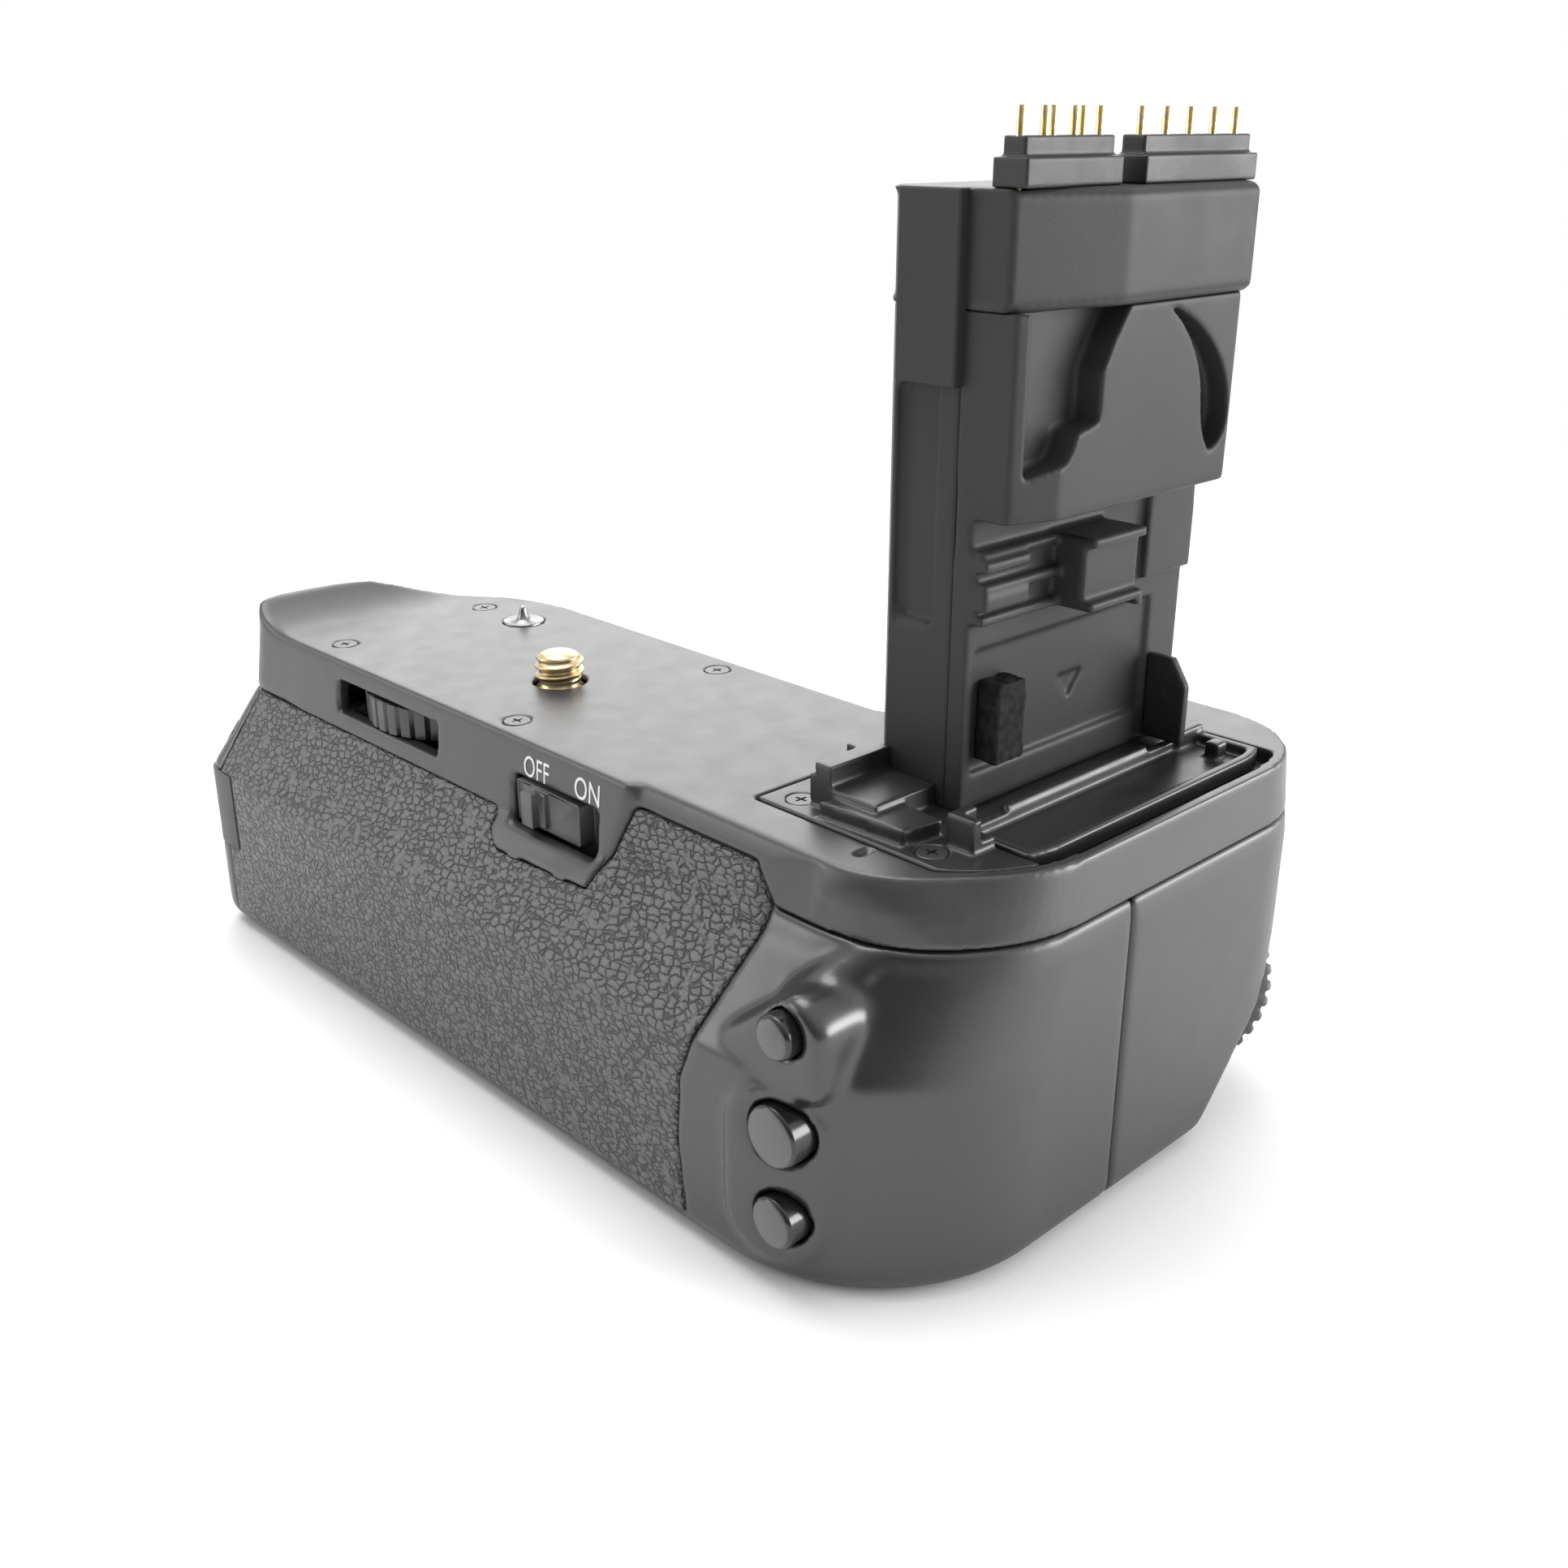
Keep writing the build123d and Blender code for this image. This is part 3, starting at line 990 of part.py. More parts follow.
# Boards and cable
with BuildPart() as main_board:
    block(MAIN_BOARD)
    block(BOARD_NOTCH, mode=Mode.SUBTRACT)
    for chip in BOARD_CHIPS:
        block(chip)
save(main_board.part, "main_board")
with BuildPart() as tower_cable:
    block(CABLE_FOOT)
    block(CABLE_RISE)
    block(CABLE_TOP)
save(tower_cable.part, "tower_cable")

# Tripod socket and base screws
with BuildPart() as tripod_socket:
    rods([(0, 0)], SOCKET_RADIUS, BASE_LEVEL, SOCKET_TOP)
    rods([(0, 0)], SOCKET_FLANGE, SHELL_FLOOR_TOP, SOCKET_FLANGE_TOP)
    rods([(0, 0)], SCREW_RADIUS, BASE_LEVEL, BASE_LEVEL + SOCKET_DEPTH, mode=Mode.SUBTRACT)
save(tripod_socket.part, "tripod_socket")
with BuildPart() as base_screws:
    rods(BASE_SCREWS, BASE_HEAD - POCKET_PLAY, BASE_HEAD_LOW, BASE_HEAD_TOP)
    rods(BASE_SCREWS, SHANK_RADIUS, BASE_HEAD_TOP, BASE_SHANK_TOP)
save(base_screws.part, "base_screws")

# Shutter button with its ring and board
with BuildPart() as shutter_ring:
    rod(facet_plane, SHUTTER_RING_RADIUS, SHUTTER_RING_FOOT, SHUTTER_RING_TOP)
    rod(facet_plane, SHUTTER_RING_LIP, 0, SHUTTER_RING_TOP)
    rod(facet_plane, SHUTTER_RING_BORE, SHUTTER_RING_FOOT, SHUTTER_RING_TOP, mode=Mode.SUBTRACT)
    with BuildSketch(facet_plane.offset(SHUTTER_BOARD_TOP)) as ring_posts:
        with Locations(*SHUTTER_POSTS):
            Circle(SHUTTER_POST)
    extrude(ring_posts.sketch, amount=SHUTTER_RING_FOOT - SHUTTER_BOARD_TOP)
save(shutter_ring.part, "shutter_ring")
with BuildPart() as shutter_button:
    rod(facet_plane, SHUTTER_CAP, SHUTTER_FLANGE_FOOT, SHUTTER_TOP)
    rod(facet_plane, SHUTTER_FLANGE, SHUTTER_FLANGE_FOOT, SHUTTER_FLANGE_TOP)
save(shutter_button.part, "shutter_button")
with BuildPart() as shutter_board:
    with BuildSketch(facet_plane.offset(SHUTTER_BOARD_FOOT)) as board_sketch:
        Rectangle(*SHUTTER_BOARD_SIZE)
    extrude(board_sketch.sketch, amount=SHUTTER_BOARD_TOP - SHUTTER_BOARD_FOOT)
    rod(facet_plane, SHUTTER_DOME, SHUTTER_BOARD_TOP, SHUTTER_DOME_TOP)
save(shutter_board.part, "shutter_board")

# Main dial with its axle and bracket
with BuildPart() as main_dial:
    prism(dial_plane, toothed((0, 0), 0, DIAL_TEETH, DIAL_TOOTH_STEPS), -DIAL_HALF_WIDTH, DIAL_HALF_WIDTH)
    rod(dial_plane, DIAL_BORE, -DIAL_HALF_WIDTH, DIAL_HALF_WIDTH, mode=Mode.SUBTRACT)
save(main_dial.part, "main_dial")
with BuildPart() as dial_axle:
    rod(dial_plane, DIAL_AXLE, -DIAL_AXLE_HALF, DIAL_AXLE_HALF)
save(dial_axle.part, "dial_axle")
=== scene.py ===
import math

import bmesh
import bpy
from mathutils import Matrix, Vector, noise as field


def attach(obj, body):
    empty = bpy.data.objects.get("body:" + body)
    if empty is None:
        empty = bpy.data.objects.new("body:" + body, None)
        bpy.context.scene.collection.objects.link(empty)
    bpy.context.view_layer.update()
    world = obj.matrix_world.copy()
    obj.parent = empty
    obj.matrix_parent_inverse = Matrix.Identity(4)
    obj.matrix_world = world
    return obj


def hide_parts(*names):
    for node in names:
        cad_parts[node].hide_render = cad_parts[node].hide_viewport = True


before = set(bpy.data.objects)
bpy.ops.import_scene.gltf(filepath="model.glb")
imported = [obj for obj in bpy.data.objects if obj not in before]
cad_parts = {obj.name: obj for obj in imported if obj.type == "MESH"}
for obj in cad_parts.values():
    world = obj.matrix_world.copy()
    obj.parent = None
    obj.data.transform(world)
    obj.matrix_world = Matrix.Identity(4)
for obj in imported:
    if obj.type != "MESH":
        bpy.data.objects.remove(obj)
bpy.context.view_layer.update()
MM = 0.001
scene = bpy.context.scene

# Camera fitted to the photograph
CAMERA_PLACE = (0.16354, -0.11785, 0.06693)
CAMERA_AZIMUTH = 45.98
CAMERA_ELEVATION = 22.19
CAMERA_ROLL = 0.05
CAMERA_LENS = 37.383
CAMERA_CLIP = (0.005, 20)
SENSOR = 36.0

# World: axis of the pale dome, between which shares of that axis it rises, and its levels
DOME_AXIS = (-0.30, 0.75, 0.60)
DOME_FROM = (-0.8, 0.4)
DOME_LEVEL = (0.10, 1.0)
# Floor: size and height in metres, tones and gloss of the paper, and between which distances
# from its middle it fades to white
FLOOR_SIZE = 8
FLOOR_Z = -0.0446
FLOOR_TONES = ((0.90, 0.90, 0.895), (0.93, 0.93, 0.925))
FLOOR_ROUGHNESS, FLOOR_SPECULAR = 0.9, 0.1
FLOOR_FADE = (0.2, 0.5)
# Soft boxes: name, place, target, size in metres, radiance
LAMPS = (
    ("back_box", (-0.95, 1.0, 0.62), (0.0, 0.0, 0.0), (1.5, 1.0), 2.4),
    ("right_box", (0.85, 0.75, 0.16), (0.06, 0.0, -0.02), (0.9, 0.5), 10.0),
    ("top_box", (-0.25, 0.0, 0.95), (0.0, 0.0, 0.0), (0.7, 0.7), 4.0),
    ("left_box", (-0.75, -0.85, 0.35), (0.0, 0.0, -0.02), (0.7, 0.5), 2.6),
)

# Depth of the bump of plastic grain and of metal marks, in metres
GRAIN_DEPTH = 0.00012
MARK_DEPTH = 0.00005
# Pebbled rubber: grains per metre along each axis, their turn in degrees and their waviness
PEBBLES = (660, 860, 1300)
PEBBLE_TURN = 14
PEBBLE_IRREGULAR = 0.66
WARP_SCALE, WARP_REACH = 620, 0.0011
# Creases between the pebbles, where they break off, and the swell of each pebble
CREASE_WIDTH = 0.12
BREAK_SCALE, BREAK_FROM = 560, (0.54, 0.70)
SWELL_WIDTH, SWELL_SHARE = 0.42, 0.35
# Painted shade of the creases, and the pebbles' own colour
PEBBLE_CREASE_SHADE, PEBBLE_LIGHT = (0.022, 0.022, 0.0225), (0.096, 0.098, 0.100)
PEBBLE_ROUGHNESS, PEBBLE_SPECULAR = 0.42, 0.7
# Bumps of the pebbled rubber: strength and depth in metres
PEBBLE_BUMP = (0.9, 0.00034)
FINE_SCALE, FINE_BUMP = 3600, (0.25, 0.00008)
# The rear shell is duller towards the hand end: from and to this X in metres, by this much
REAR_GLOSS = (0.073, 0.081)
REAR_DULL = 0.14
# Faces of the rear buttons: colour of their painted sheen (a paler tone that stands for the reflection
# they show) and roughness, and how squarely a face looks rearward
BUTTON_FACE_SHEEN, BUTTON_FACE_ROUGHNESS = (0.11, 0.112, 0.108), 0.5
SHEEN_FACING_FROM = (0.75, 0.92)


def shader_of(tree):
    """Principled shader of a tree."""
    return next(node for node in tree.nodes if node.type == "BSDF_PRINCIPLED")


def nodes_of(material):
    """Empty node tree with a principled shader."""
    material.use_nodes = True
    tree = material.node_tree
    tree.nodes.clear()
    out = tree.nodes.new("ShaderNodeOutputMaterial")
    shader = tree.nodes.new("ShaderNodeBsdfPrincipled")
    tree.links.new(shader.outputs["BSDF"], out.inputs["Surface"])
    return tree, shader


def coordinates(tree, kind="Object"):
    """Texture coordinates of one kind."""
    return tree.nodes.new("ShaderNodeTexCoord").outputs[kind]


def noise(tree, place, scale, detail, roughness=0.5):
    """Noise texture at the given coordinates."""
    made = tree.nodes.new("ShaderNodeTexNoise")
    made.inputs["Scale"].default_value = scale
    made.inputs["Detail"].default_value = detail
    made.inputs["Roughness"].default_value = roughness
    tree.links.new(place, made.inputs["Vector"])
    return made


def ramp(tree, source, low, high, start=0.3, end=0.7):
    """Colour ramp between two colours."""
    made = tree.nodes.new("ShaderNodeValToRGB")
    for stop, position, colour in zip(made.color_ramp.elements, (start, end), (low, high)):
        stop.position = position
        stop.color = (*colour, 1)
    tree.links.new(source, made.inputs["Fac"])
    return made.outputs["Color"]


def spread(tree, source, start=(0.0, 1.0), to=(0.0, 1.0), smooth=True):
    """Value from one span to another, with soft or straight ends."""
    made = tree.nodes.new("ShaderNodeMapRange")
    made.interpolation_type = "SMOOTHSTEP" if smooth else "LINEAR"
    for socket, value in zip(("From Min", "From Max", "To Min", "To Max"), (*start, *to)):
        made.inputs[socket].default_value = value
    tree.links.new(source, made.inputs["Value"])
    return made.outputs["Result"]


def math_node(tree, operation, first, second):
    """Math node fed by links or numbers."""
    made = tree.nodes.new("ShaderNodeMath")
    made.operation = operation
    for socket, value in zip(made.inputs, (first, second)):
        if isinstance(value, (int, float)):
            socket.default_value = value
        else:
            tree.links.new(value, socket)
    return made.outputs[0]


def bumped(tree, shader, height, strength, distance, normal=None):
    """Bump from a height, in metres."""
    made = tree.nodes.new("ShaderNodeBump")
    made.inputs["Strength"].default_value = strength
    made.inputs["Distance"].default_value = distance
    tree.links.new(height, made.inputs["Height"])
    if normal is not None:
        tree.links.new(normal, made.inputs["Normal"])
    tree.links.new(made.outputs["Normal"], shader.inputs["Normal"])
    return made.outputs["Normal"]


def plastic(name, dark, light, rough, grain, strength, specular=0.5, mottle=60):
    """Moulded plastic: fine grain, slight mottling of colour and gloss."""
    material = bpy.data.materials.new(name)
    tree, shader = nodes_of(material)
    place = coordinates(tree)
    soft = noise(tree, place, mottle, 4).outputs["Fac"]
    tree.links.new(ramp(tree, soft, dark, light, 0.35, 0.65), shader.inputs["Base Color"])
    gloss = noise(tree, place, mottle * 4, 3).outputs["Fac"]
    tree.links.new(spread(tree, gloss, (0.3, 0.7), rough, smooth=False), shader.inputs["Roughness"])
    fine = noise(tree, place, grain, 2, 0.6).outputs["Fac"]
    bumped(tree, shader, fine, strength, GRAIN_DEPTH)
    shader.inputs["Specular IOR Level"].default_value = specular
    return material


def metal(name, dark, light, rough, grain, strength, stretch=(1, 1, 1)):
    """Turned or plain metal with fine marks."""
    material = bpy.data.materials.new(name)
    tree, shader = nodes_of(material)
    mapping = tree.nodes.new("ShaderNodeMapping")
    mapping.inputs["Scale"].default_value = stretch
    tree.links.new(coordinates(tree), mapping.inputs["Vector"])
    marks = noise(tree, mapping.outputs["Vector"], grain, 4).outputs["Fac"]
    tree.links.new(ramp(tree, marks, dark, light), shader.inputs["Base Color"])
    tree.links.new(spread(tree, marks, to=rough, smooth=False), shader.inputs["Roughness"])
    bumped(tree, shader, marks, strength, MARK_DEPTH)
    shader.inputs["Metallic"].default_value = 1.0
    return material


def leatherette(name):
    """Pebbled rubber: flattened grains parted by short broken wavy creases, which are darkened with
    painted shade.
    """
    material = bpy.data.materials.new(name)
    tree, shader = nodes_of(material)
    place = coordinates(tree)
    warp = tree.nodes.new("ShaderNodeVectorMath")
    warp.operation = "MULTIPLY_ADD"
    tree.links.new(noise(tree, place, WARP_SCALE, 2).outputs["Color"], warp.inputs[0])
    warp.inputs[1].default_value = (WARP_REACH, WARP_REACH, WARP_REACH)
    tree.links.new(place, warp.inputs[2])
    grid = tree.nodes.new("ShaderNodeMapping")
    grid.inputs["Rotation"].default_value = (0, math.radians(PEBBLE_TURN), 0)
    grid.inputs["Scale"].default_value = PEBBLES
    tree.links.new(warp.outputs["Vector"], grid.inputs["Vector"])
    cells = tree.nodes.new("ShaderNodeTexVoronoi")
    cells.feature = "DISTANCE_TO_EDGE"
    cells.inputs["Scale"].default_value = 1.0
    cells.inputs["Randomness"].default_value = PEBBLE_IRREGULAR
    tree.links.new(grid.outputs["Vector"], cells.inputs["Vector"])
    edge = cells.outputs["Distance"]
    breaks = noise(tree, place, BREAK_SCALE, 1).outputs["Fac"]
    line = math_node(
        tree, "MAXIMUM", spread(tree, edge, (0.0, CREASE_WIDTH)), spread(tree, breaks, BREAK_FROM),
    )
    swell = math_node(tree, "MULTIPLY", spread(tree, edge, (0.0, SWELL_WIDTH)), SWELL_SHARE)
    # Painted shade: the creases take the dark colour, the pebbles the light one
    colour = ramp(tree, line, PEBBLE_CREASE_SHADE, PEBBLE_LIGHT, 0.0, 0.9)
    tree.links.new(colour, shader.inputs["Base Color"])
    shader.inputs["Roughness"].default_value = PEBBLE_ROUGHNESS
    shader.inputs["Specular IOR Level"].default_value = PEBBLE_SPECULAR
    pebbled = bumped(tree, shader, math_node(tree, "ADD", line, swell), *PEBBLE_BUMP)
    fine = noise(tree, place, FINE_SCALE, 3).outputs["Fac"]
    bumped(tree, shader, fine, *FINE_BUMP, pebbled)
    return material


def rear_facing_sheen(material, colour, roughness):
    """Painted sheen: a paler colour, and a duller gloss, on what faces the rear."""
    tree = material.node_tree
    shader = shader_of(tree)
    split = tree.nodes.new("ShaderNodeSeparateXYZ")
    tree.links.new(coordinates(tree, "Normal"), split.inputs["Vector"])
    share = spread(tree, math_node(tree, "MULTIPLY", split.outputs["Y"], -1.0), SHEEN_FACING_FROM)
    for kind, socket, value in (
        ("RGBA", shader.inputs["Base Color"], (*colour, 1)),
        ("FLOAT", shader.inputs["Roughness"], roughness),
    ):
        mix = tree.nodes.new("ShaderNodeMix")
        mix.data_type = kind
        tree.links.new(share, mix.inputs["Factor"])
        tree.links.new(socket.links[0].from_socket, mix.inputs["A"])
        mix.inputs["B"].default_value = value
        tree.links.new(mix.outputs["Result"], socket)


def duller_end(material, span, extra):
    """Roughness that grows along X."""
    tree = material.node_tree
    roughness = shader_of(tree).inputs["Roughness"]
    split = tree.nodes.new("ShaderNodeSeparateXYZ")
    tree.links.new(coordinates(tree), split.inputs["Vector"])
    more = spread(tree, split.outputs["X"], span, (0.0, extra))
    tree.links.new(math_node(tree, "ADD", roughness.links[0].from_socket, more), roughness)


HOUSING = plastic(
    "housing_plastic", (0.024, 0.0245, 0.025), (0.029, 0.0295, 0.030), (0.36, 0.42),
    grain=5200, strength=0.10, specular=0.85,
)
REAR = plastic(
    "rear_plastic", (0.009, 0.0094, 0.0096), (0.011, 0.0115, 0.0118), (0.26, 0.31),
    grain=5200, strength=0.06, specular=1.0,
)
INSERT = plastic(
    "insert_plastic", (0.014, 0.014, 0.0145), (0.018, 0.018, 0.0185), (0.34, 0.42),
    grain=4200, strength=0.10, specular=0.7,
)
TOWER = plastic(
    "tower_plastic", (0.032, 0.0325, 0.0335), (0.038, 0.0385, 0.0395), (0.42, 0.48),
    grain=4600, strength=0.10, specular=0.2,
)
RUBBER = leatherette("grip_leatherette")
SOFT = plastic(
    "cover_rubber", (0.08, 0.08, 0.079), (0.10, 0.10, 0.099), (0.5, 0.58), grain=3800, strength=0.2,
)
BRASS = metal(
    "screw_brass", (0.60, 0.47, 0.25), (0.78, 0.64, 0.38), (0.22, 0.38),
    grain=900, strength=0.25, stretch=(1, 1, 6),
)
STEEL = metal(
    "plain_steel", (0.50, 0.50, 0.51), (0.66, 0.66, 0.67), (0.22, 0.36), grain=1200, strength=0.15,
)
BLACK_METAL = plastic(
    "black_metal", (0.020, 0.020, 0.0205), (0.028, 0.028, 0.0285), (0.28, 0.36),
    grain=2600, strength=0.1, specular=0.7,
)
SCREW_BLACK = plastic(
    "screw_black", (0.02, 0.02, 0.021), (0.03, 0.03, 0.031), (0.3, 0.4),
    grain=2600, strength=0.1, specular=0.7,
)
DECK_SCREW = plastic(
    "deck_screw_black", (0.03, 0.03, 0.031), (0.036, 0.036, 0.037), (0.36, 0.42),
    grain=2600, strength=0.1, specular=0.85,
)
PIN_STEEL = metal(
    "pin_steel", (0.26, 0.26, 0.26), (0.34, 0.34, 0.34), (0.25, 0.38), grain=900, strength=0.2,
)
SWITCH = plastic(
    "switch_plastic", (0.060, 0.061, 0.062), (0.075, 0.076, 0.077), (0.36, 0.44),
    grain=4600, strength=0.1, specular=0.7,
)
BUTTON = plastic(
    "button_plastic", (0.010, 0.010, 0.0105), (0.013, 0.013, 0.0135), (0.16, 0.22),
    grain=3000, strength=0.05, specular=0.7,
)
SHUTTER = metal(
    "shutter_metal", (0.36, 0.36, 0.37), (0.48, 0.48, 0.49), (0.18, 0.28), grain=900, strength=0.1,
)
BOARD = plastic(
    "circuit_board", (0.012, 0.055, 0.028), (0.02, 0.075, 0.04), (0.25, 0.35), grain=2400, strength=0.1,
)
BLOCK = plastic(
    "contact_plastic", (0.010, 0.010, 0.0105), (0.016, 0.016, 0.017), (0.42, 0.52),
    grain=3600, strength=0.15,
)
GOLD = metal(
    "contact_gold", (0.80, 0.60, 0.28), (0.95, 0.78, 0.45), (0.16, 0.28), grain=1500, strength=0.08,
)
BAY = plastic(
    "bay_plastic", (0.032, 0.032, 0.034), (0.042, 0.042, 0.044), (0.45, 0.55),
    grain=3600, strength=0.15,
)
FOAM = plastic(
    "foam", (0.012, 0.012, 0.012), (0.028, 0.028, 0.028), (0.85, 0.95),
    grain=1900, strength=0.9, specular=0.1, mottle=900,
)
FLEX = plastic(
    "flex_film", (0.30, 0.13, 0.025), (0.36, 0.17, 0.04), (0.3, 0.4), grain=2000, strength=0.05,
)
PAINT = plastic(
    "white_marking", (0.72, 0.72, 0.71), (0.80, 0.80, 0.79), (0.5, 0.6), grain=3000, strength=0.05,
)
duller_end(REAR, REAR_GLOSS, REAR_DULL)
# Painted sheen: the buttons' rear faces are coloured paler
rear_facing_sheen(BUTTON, BUTTON_FACE_SHEEN, BUTTON_FACE_ROUGHNESS)

LOOKS = {
    HOUSING: ("top_shell", "rear_shell", "front_shell", "magazine_cap", "base_plate"),
    INSERT: ("deck_insert", "door_tray"),
    TOWER: ("tower_shell", "tower_side_cover", "tower_head", "rail_strip", "hinge_ear"),
    RUBBER: ("rear_grip_rubber", "front_grip_rubber"),
    SOFT: ("cord_hole_cover",),
    BRASS: ("attachment_screw",),
    STEEL: (
        "screw_gear", "wheel_gear", "wheel_axle", "gear_plate", "locating_pin", "tact_switches",
        "dial_axle", "latch_bolt", "tripod_socket",
    ),
    BLACK_METAL: ("screw_bush", "thumb_wheel", "main_dial", "shutter_ring"),
    SCREW_BLACK: ("deck_screws", "base_screws"),
    SWITCH: ("power_switch", "slide_switch", "lock_knob"),
    BUTTON: ("rear_button_upper", "rear_button_middle", "rear_button_lower"),
    SHUTTER: ("shutter_button",),
    BOARD: ("button_board", "main_board", "shutter_board"),
    BLOCK: ("contact_block_four", "contact_block_five"),
    GOLD: ("contact_pins", "bay_contacts", "magazine_contacts"),
    BAY: (
        "bay_floor", "bay_rear_wall", "bay_end_wall", "bay_roof", "magazine_frame", "magazine_divider",
        "magazine_end",
    ),
    FOAM: ("foam_pad",),
    FLEX: ("tower_cable",),
}
# Edge rounding of the plain nodes in metres, and where it isn't the usual one
USUAL_ROUNDING = 0.00022
ROUNDING = {
    "top_shell": 0.00035, "rear_shell": 0.00035, "front_shell": 0.00035, "rear_grip_rubber": 0.0003,
    "front_grip_rubber": 0.0003, "contact_pins": 0.00012, "deck_screws": 0.0001,
    "base_screws": 0.0001, "tower_head": 0.0005, "thumb_wheel": 0.00012, "main_dial": 0.00012,
    "rear_button_middle": 0.0004,
}
ROUNDED_ANGLE = 38
WELD_REACH = 0.000002


def welded(piece):
    """Join the doubled points of a CAD mesh."""
    weld = piece.modifiers.new("weld", "WELD")
    weld.merge_threshold = WELD_REACH


def smoothed(mesh):
    """Smooth shading on every face."""
    for face in mesh.polygons:
        face.use_smooth = True


def shade(piece, material, rounding):
    """Material, softened edges and smooth shading."""
    piece.data.materials.clear()
    piece.data.materials.append(material)
    smoothed(piece.data)
    welded(piece)
    soften = piece.modifiers.new("soften", "BEVEL")
    soften.width = rounding
    soften.segments = 2
    soften.limit_method = "ANGLE"
    soften.angle_limit = math.radians(ROUNDED_ANGLE)
    soften.harden_normals = True
    soften.use_clamp_overlap = True


for look, names in LOOKS.items():
    for name in names:
        shade(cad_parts[name], look, ROUNDING.get(name, USUAL_ROUNDING))


def near(value, low, high):
    """Smooth step from 0 at low to 1 at high."""
    share = min(max((value - low) / (high - low), 0.0), 1.0)
    return share * share * (3 - 2 * share)


def placed(name, data):
    """New object in the scene."""
    piece = bpy.data.objects.new(name, data)
    scene.collection.objects.link(piece)
    return piece


def evaluated(piece):
    """The piece as its modifiers leave it."""
    return piece.evaluated_get(bpy.context.evaluated_depsgraph_get())


def final_mesh(piece):
    """Mesh of the piece as its modifiers leave it."""
    return bpy.data.meshes.new_from_object(evaluated(piece))


def lathe(name, rings, radius=None, steps=48, centre=(0, 0)):
    """Turned piece: rings of (height, radius) in millimetres, or a radius by angle and height."""
    points, faces = [], []
    for height, size in rings:
        for step in range(steps):
            angle = 2 * math.pi * step / steps
            reach = radius(angle, height, size) if radius else size
            points.append((
                (centre[0] + reach * math.cos(angle)) * MM,
                (centre[1] + reach * math.sin(angle)) * MM,
                height * MM,
            ))
    for ring in range(len(rings) - 1):
        low, high = ring * steps, (ring + 1) * steps
        for step in range(steps):
            other = (step + 1) % steps
            faces.append((low + step, low + other, high + other, high + step))
    faces.append(tuple(range(steps))[::-1])
    faces.append(tuple(range((len(rings) - 1) * steps, len(rings) * steps)))
    mesh = bpy.data.meshes.new(name)
    mesh.from_pydata(points, [], faces)
    for face in mesh.polygons:
        face.use_smooth = len(face.vertices) == 4
    return placed(name, mesh)


def slab(name, low, high):
    """Plain box between two corners, in millimetres."""
    made = bmesh.new()
    bmesh.ops.create_cube(made, size=1)
    for vertex in made.verts:
        vertex.co = Vector([(a + b) / 2 + c * (b - a) for a, b, c in zip(low, high, vertex.co)]) * MM
    mesh = bpy.data.meshes.new(name)
    made.to_mesh(mesh)
    made.free()
    return placed(name, mesh)


def carved(piece, cutter, operation="DIFFERENCE"):
    """Take the cutter out of the piece, or add it."""
    cut = piece.modifiers.new("cut", "BOOLEAN")
    cut.operation = operation
    cut.solver = "EXACT"
    cut.object = cutter
    mesh = final_mesh(piece)
    piece.modifiers.clear()
    piece.data = mesh
    bpy.data.objects.remove(cutter)
    return piece


def skin(node, voxel, steps, weight, shift=None, edits=()):
    """Piece cast from a CAD node's own mesh, with softened corners; the voxel is in millimetres."""
    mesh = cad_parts[node].data.copy()
    if shift:
        for vertex in mesh.vertices:
            vertex.co += shift(vertex.co)
    rough = placed(node + "_rough", mesh)
    welded(rough)
    for operation, low, high in edits:
        carved(rough, slab("edit", low, high) if high else lathe("edit", low), operation)
    cast = rough.modifiers.new("cast", "REMESH")
    cast.mode = "VOXEL"
    cast.voxel_size = voxel * MM
    made = final_mesh(rough)
    bpy.data.objects.remove(rough)
    piece = placed(node + "_skin", made)
    group = piece.vertex_groups.new(name="soft")
    for vertex in made.vertices:
        group.add([vertex.index], weight(vertex.co), "REPLACE")
    smooth = piece.modifiers.new("smooth", "SMOOTH")
    smooth.factor = 0.5
    smooth.iterations = steps
    smooth.vertex_group = group.name
    smoothed(made)
    return piece


def even(share):
    """The same softening all over a piece."""
    return lambda spot: share


# Softening of the top shell: a share, and spans from none to all of it, in millimetres.
# The room of the switch's slider under the deck is kept crisp, so that the slider runs free.
SLIDER_ROOM_X, SLIDER_ROOM_REAR, SLIDER_ROOM_TOP, SLIDER_ROOM_SHARE = (10, 34), -15.7, -3.4, 0.02
DECK_SHARE = 0.14
LIP_FROM = (36, 43)
REAR_SHARE, REAR_FROM, REAR_RISE = 0.5, (12.5, 14.5), (-4.2, -2.6)
JOG_SHARE, JOG_FROM, JOG_X, JOG_REACH, JOG_FADE = 0.7, (9, 12), 34, 6, 3
WINDOW_SHARE, WINDOW_FROM, WINDOW_X, WINDOW_REACH, WINDOW_FADE = 0.35, (13, 15), 21, 11, 2
# Softening of the rear shell and of the tower's side cover
SHELL_SHARE, THUMB_X, THUMB_Y = 0.35, (50, 54), (14, 18)
COVER_SHARE, ISLAND_Z, ISLAND_REACH, ISLAND_FADE = 0.3, 31, 6, 4


